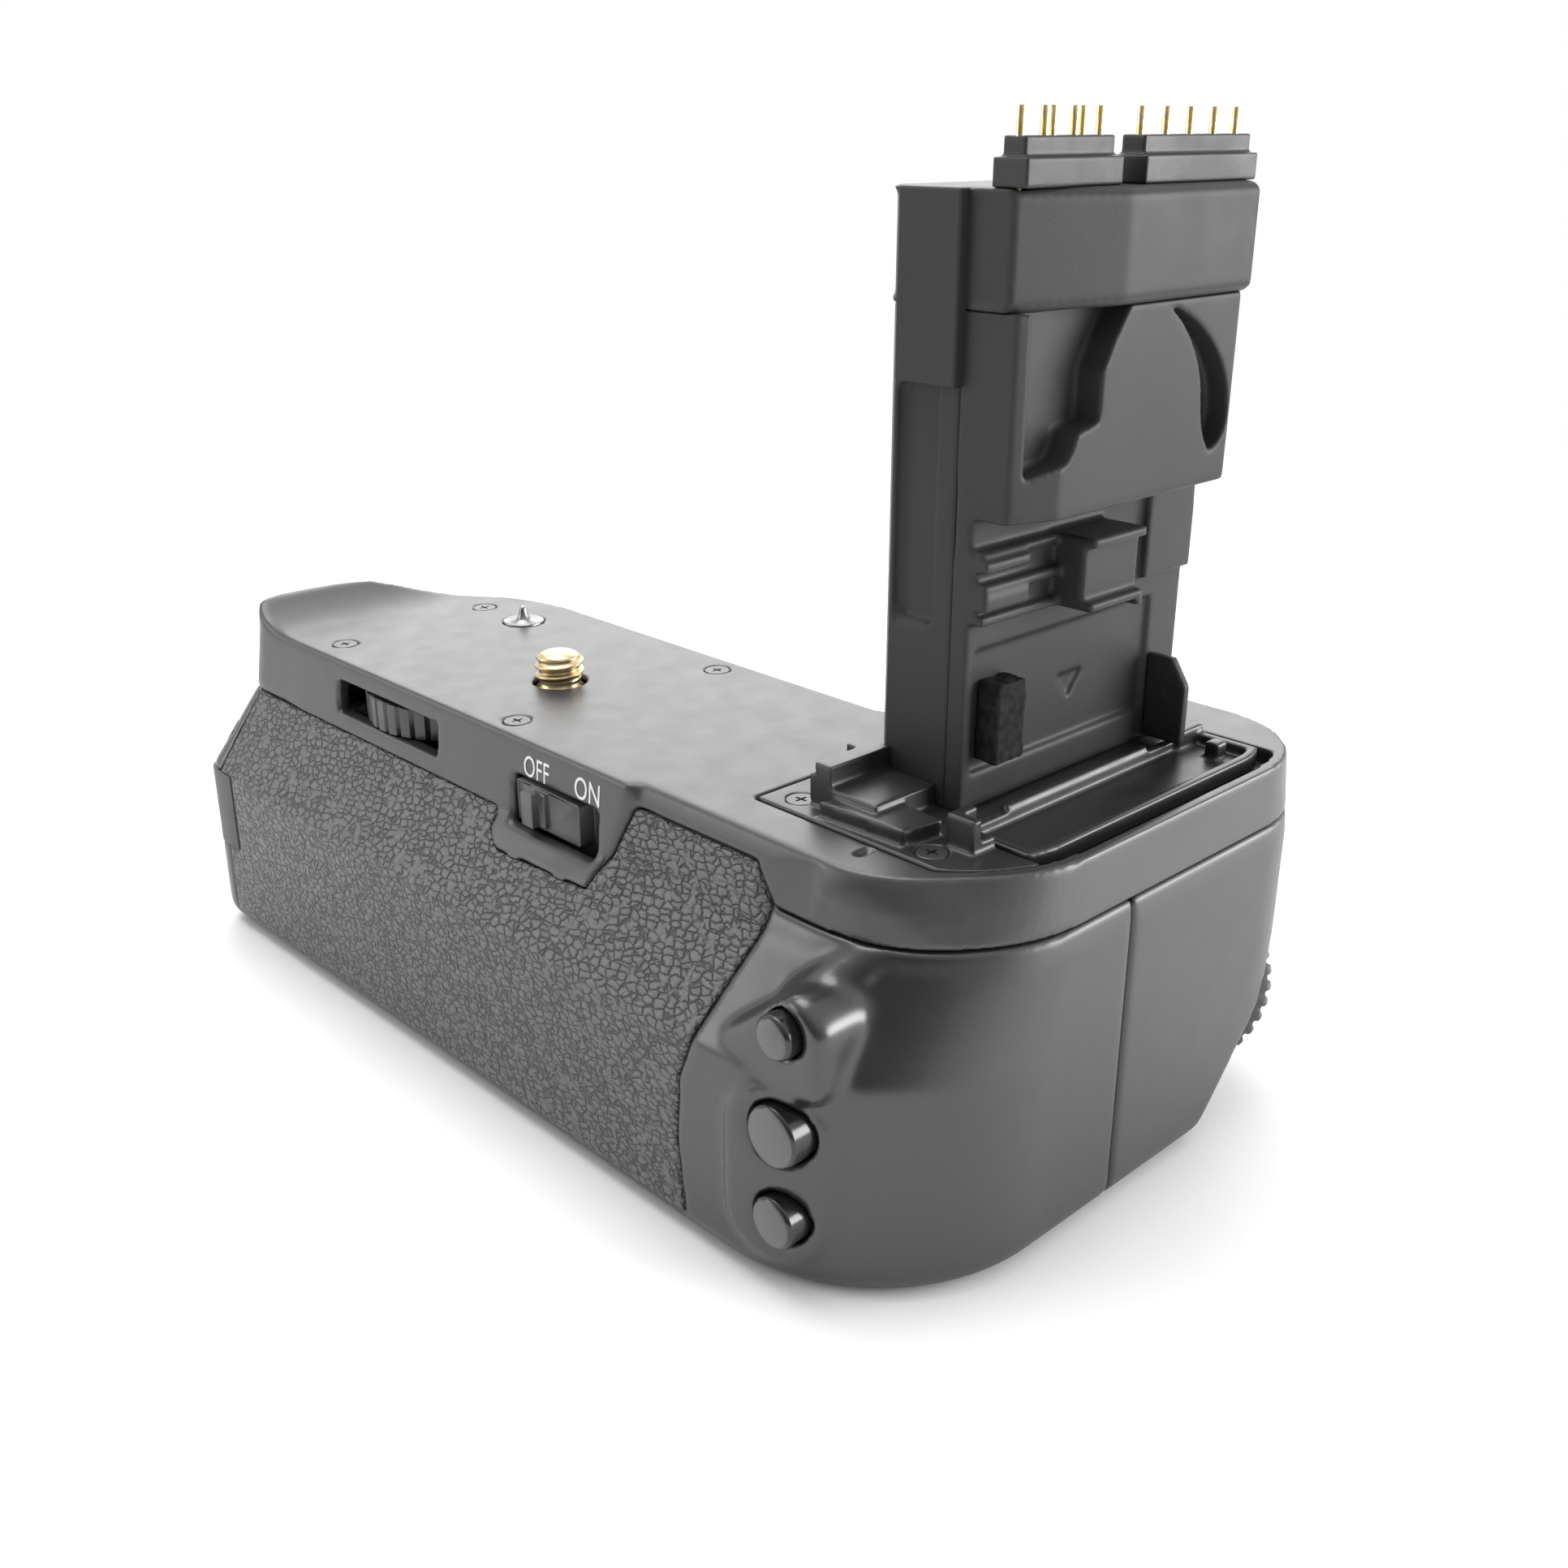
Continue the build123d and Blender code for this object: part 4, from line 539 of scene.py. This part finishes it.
def top_weight(spot):
    """Deck details stay crisp, the lip, the jog and the switch window are round."""
    x, y, z = spot / MM
    if z < SLIDER_ROOM_TOP and y > SLIDER_ROOM_REAR and SLIDER_ROOM_X[0] < x < SLIDER_ROOM_X[1]:
        return SLIDER_ROOM_SHARE
    lip = near(-x, *LIP_FROM)
    rear = REAR_SHARE * near(-y, *REAR_FROM) * near(z, *REAR_RISE)
    jog = JOG_SHARE * near(-y, *JOG_FROM) * near(JOG_REACH - abs(x - JOG_X), 0, JOG_FADE)
    window = WINDOW_SHARE * near(-y, *WINDOW_FROM)
    window *= near(WINDOW_REACH - abs(x - WINDOW_X), 0, WINDOW_FADE)
    return max(DECK_SHARE, lip, rear, jog, window)


def rear_weight(spot):
    """The thumb rest is round, the rest stays crisp."""
    x, y, z = spot / MM
    return max(SHELL_SHARE, near(x, *THUMB_X) * near(-y, *THUMB_Y))


def cover_weight(spot):
    """Lower edge of the side cover's island is round."""
    return max(COVER_SHARE, near(ISLAND_REACH - abs(spot.z / MM - ISLAND_Z), 0, ISLAND_FADE))


# Moves of the shells round the switch tab, in millimetres: the tab's right edge across, the edge
# under it up, and the deck's rim right of the tab rearward
TAB_MOVE = (-2.6, 0.7)
RIM_MOVE = -1.9
RIM_ACROSS, RIM_ACROSS_X = 0.6, 35
BAND_FRONT = -7
BAND_REAR, BAND_FOOT = (14.4, 15.4), (-18, -14)
TAB_SIDE, TAB_DEPTH, TAB_END = (30, 33), (5.5, 10), 37
EDGE_SIDE, EDGE_DEPTH, EDGE_END = (22, 31), (9, 13), 36
END_FADE = 2
RIM_FRONT, RIM_REAR, RIM_SIDE, RIM_RISE = (7, 12.8), (-15.9, -14.6), (33, 33.8), (-9, -1)


def tab_shift(spot):
    """Narrower switch tab and a smaller jog at its right."""
    x, y, z = spot / MM
    if y > BAND_FRONT:
        return Vector((0, 0, 0))
    foot, rear = near(z, *BAND_FOOT), near(-y, *BAND_REAR)
    across = TAB_MOVE[0] * near(x, *TAB_SIDE) * near(TAB_END - x, 0, END_FADE)
    across *= near(-z, *TAB_DEPTH) * foot * rear
    up = TAB_MOVE[1] * near(x, *EDGE_SIDE) * near(EDGE_END - x, 0, END_FADE)
    up = up * near(-z, *EDGE_DEPTH) * foot * rear
    rim = RIM_MOVE * near(-y, *RIM_FRONT) * near(y, *RIM_REAR)
    rim = rim * near(x, *RIM_SIDE) * near(z, *RIM_RISE)
    if rim < -1 and x < RIM_ACROSS_X:
        across += RIM_ACROSS
    return Vector((across, rim, up)) * MM


# Moves of the tower's head: (across, forward) for its rear wall, forward for the wall behind it
HEAD_REAR, HEAD_REAR_MOVE, HEAD_REAR_END = 3, (0.8, 1.05), 54
HEAD_WALL, HEAD_WALL_MOVE, HEAD_WALL_END = 5, 1.9, 51.5


def head_shift(spot):
    """Head flush with the stem on its two free sides."""
    x, y, z = spot / MM
    if y < HEAD_REAR:
        across = HEAD_REAR_MOVE[0] if x < HEAD_REAR_END else 0.0
        return Vector((across, HEAD_REAR_MOVE[1], 0)) * MM
    return Vector((0, HEAD_WALL_MOVE if x < HEAD_WALL_END and y < HEAD_WALL else 0, 0)) * MM


SKIRT_Z, SKIRT_MOVE = (62.4, 63.4), 1.0


def block_shift(spot):
    """Taller skirt round the contact blocks."""
    return Vector((0, 0, SKIRT_MOVE if SKIRT_Z[0] < spot.z / MM < SKIRT_Z[1] else 0)) * MM


def dress(piece, material, body, slot, *nodes):
    """Material, body and the nodes that a piece stands for; the slot is not used."""
    piece.data.materials.clear()
    piece.data.materials.append(material)
    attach(piece, body)
    if nodes:
        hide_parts(*nodes)


def merged(name, *pieces):
    """One object from several."""
    made = bmesh.new()
    for piece in pieces:
        made.from_mesh(piece.data)
        bpy.data.objects.remove(piece)
    mesh = bpy.data.meshes.new(name)
    made.to_mesh(mesh)
    made.free()
    return placed(name, mesh)


# Forms added to a casting or cut out of it, in millimetres: boxes between two corners, or
# turned forms given by their rings
ADD, CUT = "UNION", "DIFFERENCE"
EDITS = {
    # The bush's place is filled and bored anew; then the slot of the switch and the slider's path
    "top_shell": (
        (ADD, ((-0.9, 4.9), (0.0, 4.9)), None),
        (CUT, ((-1.5, 3.45), (1.0, 3.45)), None),
        (CUT, (12.9, -22.0, -10.6), (29.0, -12.0, -4.6)),
        (CUT, (10.4, -14.85, -11.8), (33.2, -13.3, -3.4)),
    ),
    # The clip's flanges, and the rails beside it
    "tower_side_cover": (
        (ADD, (64.0, 15.8, 20.3), (69.9, 24.0, 28.0)),
        (CUT, (69.0, 14.0, 21.3), (75.0, 30.0, 27.0)),
        (ADD, (64.0, 3.6, 27.0), (65.7, 16.4, 27.9)),
        (ADD, (64.0, 3.6, 23.7), (66.2, 16.4, 24.7)),
        (ADD, (64.0, 3.6, 20.4), (65.9, 16.4, 21.4)),
        (ADD, (64.0, 3.6, 20.9), (65.0, 16.4, 27.5)),
    ),
    # The stem's corner, set back below the cover strip
    "tower_shell": ((CUT, (54.7, 0.0, 19.4), (59.2, 4.5, 44.0)),),
    # A small block on the ear
    "hinge_ear": ((ADD, (66.2, 36.1, 5.4), (68.6, 37.1, 7.8)),),
}
# Castings: node, voxel in millimetres, rounds of smoothing, its weight, moves, material, slot
SKINS = (
    ("top_shell", 0.36, 34, top_weight, tab_shift, HOUSING, "housing"),
    ("rear_shell", 0.42, 30, rear_weight, tab_shift, REAR, "housing"),
    ("rear_grip_rubber", 0.27, 12, even(0.6), tab_shift, RUBBER, "grip_rubber"),
    ("front_shell", 0.42, 16, even(0.5), None, REAR, "housing"),
    ("base_plate", 0.42, 16, even(0.5), None, HOUSING, "housing"),
    ("tower_head", 0.33, 8, even(0.5), head_shift, TOWER, "tower"),
    ("tower_side_cover", 0.25, 22, cover_weight, None, TOWER, "tower"),
    ("tower_shell", 0.30, 6, even(0.5), None, TOWER, "tower"),
    ("hinge_ear", 0.18, 24, even(0.8), None, TOWER, "tower"),
    ("contact_block_four", 0.16, 5, even(0.6), block_shift, BLOCK, "contact_plastic"),
    ("contact_block_five", 0.16, 5, even(0.6), block_shift, BLOCK, "contact_plastic"),
    ("door_tray", 0.25, 8, even(0.6), None, INSERT, "insert"),
    ("deck_insert", 0.25, 8, even(0.6), None, INSERT, "insert"),
)
cast_pieces = {}
for node, voxel, steps, weight, shift, material, slot in SKINS:
    piece = skin(node, voxel, steps, weight, shift, EDITS.get(node, ()))
    dress(piece, material, "housing", slot, node)
    cast_pieces[node] = piece

# Cover strip on the upper part of the stem's corner
STRIP_LOW, STRIP_HIGH = (54.5, 2.3, 43.4), (62.2, 3.9, 61.3)
STRIP_ROUNDING = 0.3
strip = slab("tower_strip", STRIP_LOW, STRIP_HIGH)
soften = strip.modifiers.new("soften", "BEVEL")
soften.width = STRIP_ROUNDING * MM
soften.segments = 3
dress(strip, TOWER, "housing", "tower", "rail_strip")

# Attachment screw with its thread: root, crest and pitch of a 1/4 inch screw, in millimetres
THREAD_ROOT, THREAD_CREST, THREAD_PITCH = 2.62, 3.175, 1.27
THREAD_FOOT, THREAD_TOP, THREAD_FADE, THREAD_RINGS = 0.2, 3.1, 0.5, 40
# Flank of the thread: its slope, and how wide the root is
FLANK_SLOPE, FLANK_ROOT = 1.7, 0.45
SHANK = [(-9.9, 3.0), (-0.6, 3.0), (-0.5, 2.62)]
TIP = [(3.25, 2.75), (3.55, 2.45), (3.8, 2.0), (3.94, 1.4), (4.0, 0.6)]


def thread(angle, height, size):
    """Crest on a rising helix, fading in from the foot; rings with a size of their own keep it."""
    if size:
        return size
    wave = abs(2 * ((height / THREAD_PITCH - angle / (2 * math.pi)) % 1) - 1)
    fade = near(height, THREAD_FOOT, THREAD_FOOT + THREAD_FADE)
    flank = min(max(FLANK_SLOPE * wave - FLANK_ROOT, 0), 1)
    return THREAD_ROOT + (THREAD_CREST - THREAD_ROOT) * flank * fade


turns = [
    (THREAD_FOOT + (THREAD_TOP - THREAD_FOOT) * ring / THREAD_RINGS, 0) for ring in range(THREAD_RINGS + 1)
]
screw = lathe("attachment_screw_thread", SHANK + turns + TIP, thread)
dress(screw, BRASS, "attachment_screw", "brass", "attachment_screw")

bush = lathe("screw_bush_ring", [(-2.8, 6.0), (-2.3, 6.0), (-2.3, 4.6), (-1.0, 4.6)])
dress(bush, BLACK_METAL, "housing", "black_metal", "screw_bush")

# Deck screws: flush heads with a cross, parted from the deck by a thin dark ring
DECK_SCREWS = ((-33.3, -11.8), (-35.2, 12.4), (8.6, -12.8), (10.8, 17.5), (49.8, -5.4), (68.4, -5.6))
DECK_SCREW_RINGS = [(-6.0, 0.9), (-1.2, 0.9), (-1.2, 1.67), (-0.14, 1.67), (-0.03, 1.56)]
CROSS_REACH, CROSS_HALF, CROSS_FLOOR = 0.75, 0.15, -0.6
heads = []
for x, y in DECK_SCREWS:
    head = lathe("deck_screw", DECK_SCREW_RINGS, centre=(x, y), steps=32)
    for wide, deep in ((CROSS_REACH, CROSS_HALF), (CROSS_HALF, CROSS_REACH)):
        head = carved(head, slab("cross", (x - wide, y - deep, CROSS_FLOOR), (x + wide, y + deep, 1)))
    heads.append(head)
dress(merged("deck_screw_heads", *heads), DECK_SCREW, "housing", "black_screw", "deck_screws")

# Locating pin: plain disc and a thin tip on a flared foot
PIN_PLACE = (-25.3, 12.4)
PIN_RINGS = [
    (-6.0, 1.1), (-0.4, 1.1), (-0.4, 2.9), (0.1, 2.9), (0.2, 2.75), (0.2, 1.15), (0.55, 0.92), (0.9, 0.72),
    (1.4, 0.55), (1.95, 0.46), (2.12, 0.36), (2.2, 0.2),
]
pin = lathe("locating_pin_tip", PIN_RINGS, centre=PIN_PLACE)
dress(pin, PIN_STEEL, "housing", "steel", "locating_pin")

# Foam pad, coarse and uneven: scale and height in millimetres of two noises, and how far it sinks
FOAM_WAVES = ((900, 0.16), (2600, 0.12))
FOAM_SINK = 0.10
pad = skin("foam_pad", 0.28, 4, even(0.6))
foam_mesh = final_mesh(pad)
for vertex in foam_mesh.vertices:
    lift = sum(field.noise(vertex.co * scale) * height for scale, height in FOAM_WAVES) - FOAM_SINK
    vertex.co += vertex.normal * lift * MM
pad.modifiers.clear()
pad.data = foam_mesh
dress(pad, FOAM, "housing", "foam", "foam_pad")

# Rear buttons, domed and soft-edged: each node rides on the body of its own name. The dome's
# drop at the edge, how deep it reaches into the cap and how deep the face counts, in millimetres
BUTTONS = ("rear_button_upper", "rear_button_middle", "rear_button_lower")
BUTTON_DOME, BUTTON_DEPTH, BUTTON_FACE_DEPTH = 0.6, 1.2, 0.3
for name in BUTTONS:
    cap = skin(name, 0.16, 16, even(0.8))
    front = min(vertex.co.y for vertex in cap.data.vertices)
    faces = [
        vertex.co for vertex in cap.data.vertices if vertex.co.y < front + BUTTON_FACE_DEPTH * MM
    ]
    centre = sum(faces, Vector()) / len(faces)
    reach = max((spot - centre).length for spot in faces)
    for vertex in cap.data.vertices:
        share = near(front + BUTTON_DEPTH * MM - vertex.co.y, 0, BUTTON_DEPTH * MM)
        away = math.hypot(vertex.co.x - centre.x, vertex.co.z - centre.z) / reach
        vertex.co.y += BUTTON_DOME * MM * share * away ** 2
    dress(cap, BUTTON, name, "button_plastic", name)

# Words of the power switch: left and right end, foot and height in millimetres
WORDS = (("OFF", 15.1, 19.9, -4.1, 2.55), ("ON", 24.8, 29.3, -4.0, 2.6))
CAPITAL_SHARE = 0.7
PAINT_DEPTH = 0.02
# In metres: where the search for the band starts, and where a letter lies if it finds nothing
SEARCH_Y, BARE_Y = -0.03, -0.0165
for word, left, right, foot, height in WORDS:
    curve = bpy.data.curves.new(word, "FONT")
    curve.body = word
    curve.size = height * MM / CAPITAL_SHARE
    curve.extrude = PAINT_DEPTH * MM
    drawn = placed(word, curve)
    letters = final_mesh(drawn)
    bpy.data.objects.remove(drawn)
    band = evaluated(cast_pieces["top_shell"])
    reach = [vertex.co.x for vertex in letters.vertices]
    wide = (right - left) * MM / (max(reach) - min(reach))
    for vertex in letters.vertices:
        x, y, z = vertex.co
        spot = Vector((left * MM + (x - min(reach)) * wide, SEARCH_Y, foot * MM + y))
        hit, place, normal, _ = band.ray_cast(spot, Vector((0, 1, 0)))
        if hit:
            vertex.co = place + normal * (PAINT_DEPTH * MM + (z + PAINT_DEPTH * MM))
        else:
            vertex.co = Vector((spot.x, BARE_Y, spot.z))
    dress(placed("word_" + word.lower(), letters), PAINT, "housing", "housing")


def mixed(tree, share, first, second, target):
    """Two shaders mixed by a share, to a surface."""
    pick = tree.nodes.new("ShaderNodeMixShader")
    for socket, source in zip(pick.inputs, (share, first, second)):
        tree.links.new(source, socket)
    tree.links.new(pick.outputs["Shader"], target)


def glowing(tree, kind, strength=1.0):
    """White background or emission."""
    made = tree.nodes.new(kind)
    made.inputs["Color"].default_value = (1, 1, 1, 1)
    made.inputs["Strength"].default_value = strength
    return made


# Studio
scene.view_settings.view_transform = "Standard"
scene.view_settings.look = "None"

# World: white where it is seen, a pale dome with a dim front where it lights
world = bpy.data.worlds.new("studio")
scene.world = world
world.use_nodes = True
tree = world.node_tree
tree.nodes.clear()
out = tree.nodes.new("ShaderNodeOutputWorld")
direct = tree.nodes.new("ShaderNodeLightPath").outputs["Is Camera Ray"]
facing = tree.nodes.new("ShaderNodeVectorMath")
facing.operation = "DOT_PRODUCT"
facing.inputs[1].default_value = Vector(DOME_AXIS).normalized()
tree.links.new(coordinates(tree, "Generated"), facing.inputs[0])
dome = glowing(tree, "ShaderNodeBackground")
level = spread(tree, facing.outputs["Value"], DOME_FROM, DOME_LEVEL)
tree.links.new(level, dome.inputs["Strength"])
white = glowing(tree, "ShaderNodeBackground")
mixed(tree, direct, dome.outputs["Background"], white.outputs["Background"], out.inputs["Surface"])

# Floor: paper round the object, which fades to white for rays that show the backdrop
bpy.ops.mesh.primitive_plane_add(size=FLOOR_SIZE, location=(0, 0, FLOOR_Z))
floor = bpy.context.object
floor.name = "floor"
paper = bpy.data.materials.new("paper")
tree, shader = nodes_of(paper)
place = coordinates(tree)
tone = ramp(tree, noise(tree, place, 40, 2).outputs["Fac"], *FLOOR_TONES)
tree.links.new(tone, shader.inputs["Base Color"])
shader.inputs["Roughness"].default_value = FLOOR_ROUGHNESS
shader.inputs["Specular IOR Level"].default_value = FLOOR_SPECULAR
length = tree.nodes.new("ShaderNodeVectorMath")
length.operation = "LENGTH"
tree.links.new(place, length.inputs[0])
fade = spread(tree, length.outputs["Value"], FLOOR_FADE)
path = tree.nodes.new("ShaderNodeLightPath").outputs
shown = math_node(tree, "MAXIMUM", path["Is Camera Ray"], path["Is Glossy Ray"])
shown = math_node(tree, "MAXIMUM", shown, path["Is Transmission Ray"])
share = math_node(tree, "MULTIPLY", fade, shown)
glow = glowing(tree, "ShaderNodeEmission")
surface = next(node for node in tree.nodes if node.type == "OUTPUT_MATERIAL").inputs["Surface"]
mixed(tree, share, shader.outputs["BSDF"], glow.outputs["Emission"], surface)
floor.data.materials.append(paper)


def area(name, place, target, size, radiance):
    """Soft rectangular light aimed at a point."""
    data = bpy.data.lights.new(name, "AREA")
    data.shape = "RECTANGLE"
    data.size, data.size_y = size
    data.energy = radiance * size[0] * size[1] * math.pi
    lamp = placed(name, data)
    lamp.location = place
    lamp.rotation_euler = (Vector(target) - Vector(place)).to_track_quat("-Z", "Y").to_euler()


for lamp in LAMPS:
    area(*lamp)

# Camera
camera = placed("camera", bpy.data.cameras.new("camera"))
scene.camera = camera
azimuth, elevation = math.radians(CAMERA_AZIMUTH), math.radians(CAMERA_ELEVATION)
away = Vector((
    math.sin(azimuth) * math.cos(elevation), -math.cos(azimuth) * math.cos(elevation),
    math.sin(elevation),
))
camera.rotation_mode = "QUATERNION"
aim = (-away).to_track_quat("-Z", "Y")
camera.rotation_quaternion = aim @ Matrix.Rotation(math.radians(CAMERA_ROLL), 3, "Z").to_quaternion()
camera.location = CAMERA_PLACE
camera.data.lens = CAMERA_LENS
camera.data.sensor_width = SENSOR
camera.data.clip_start, camera.data.clip_end = CAMERA_CLIP
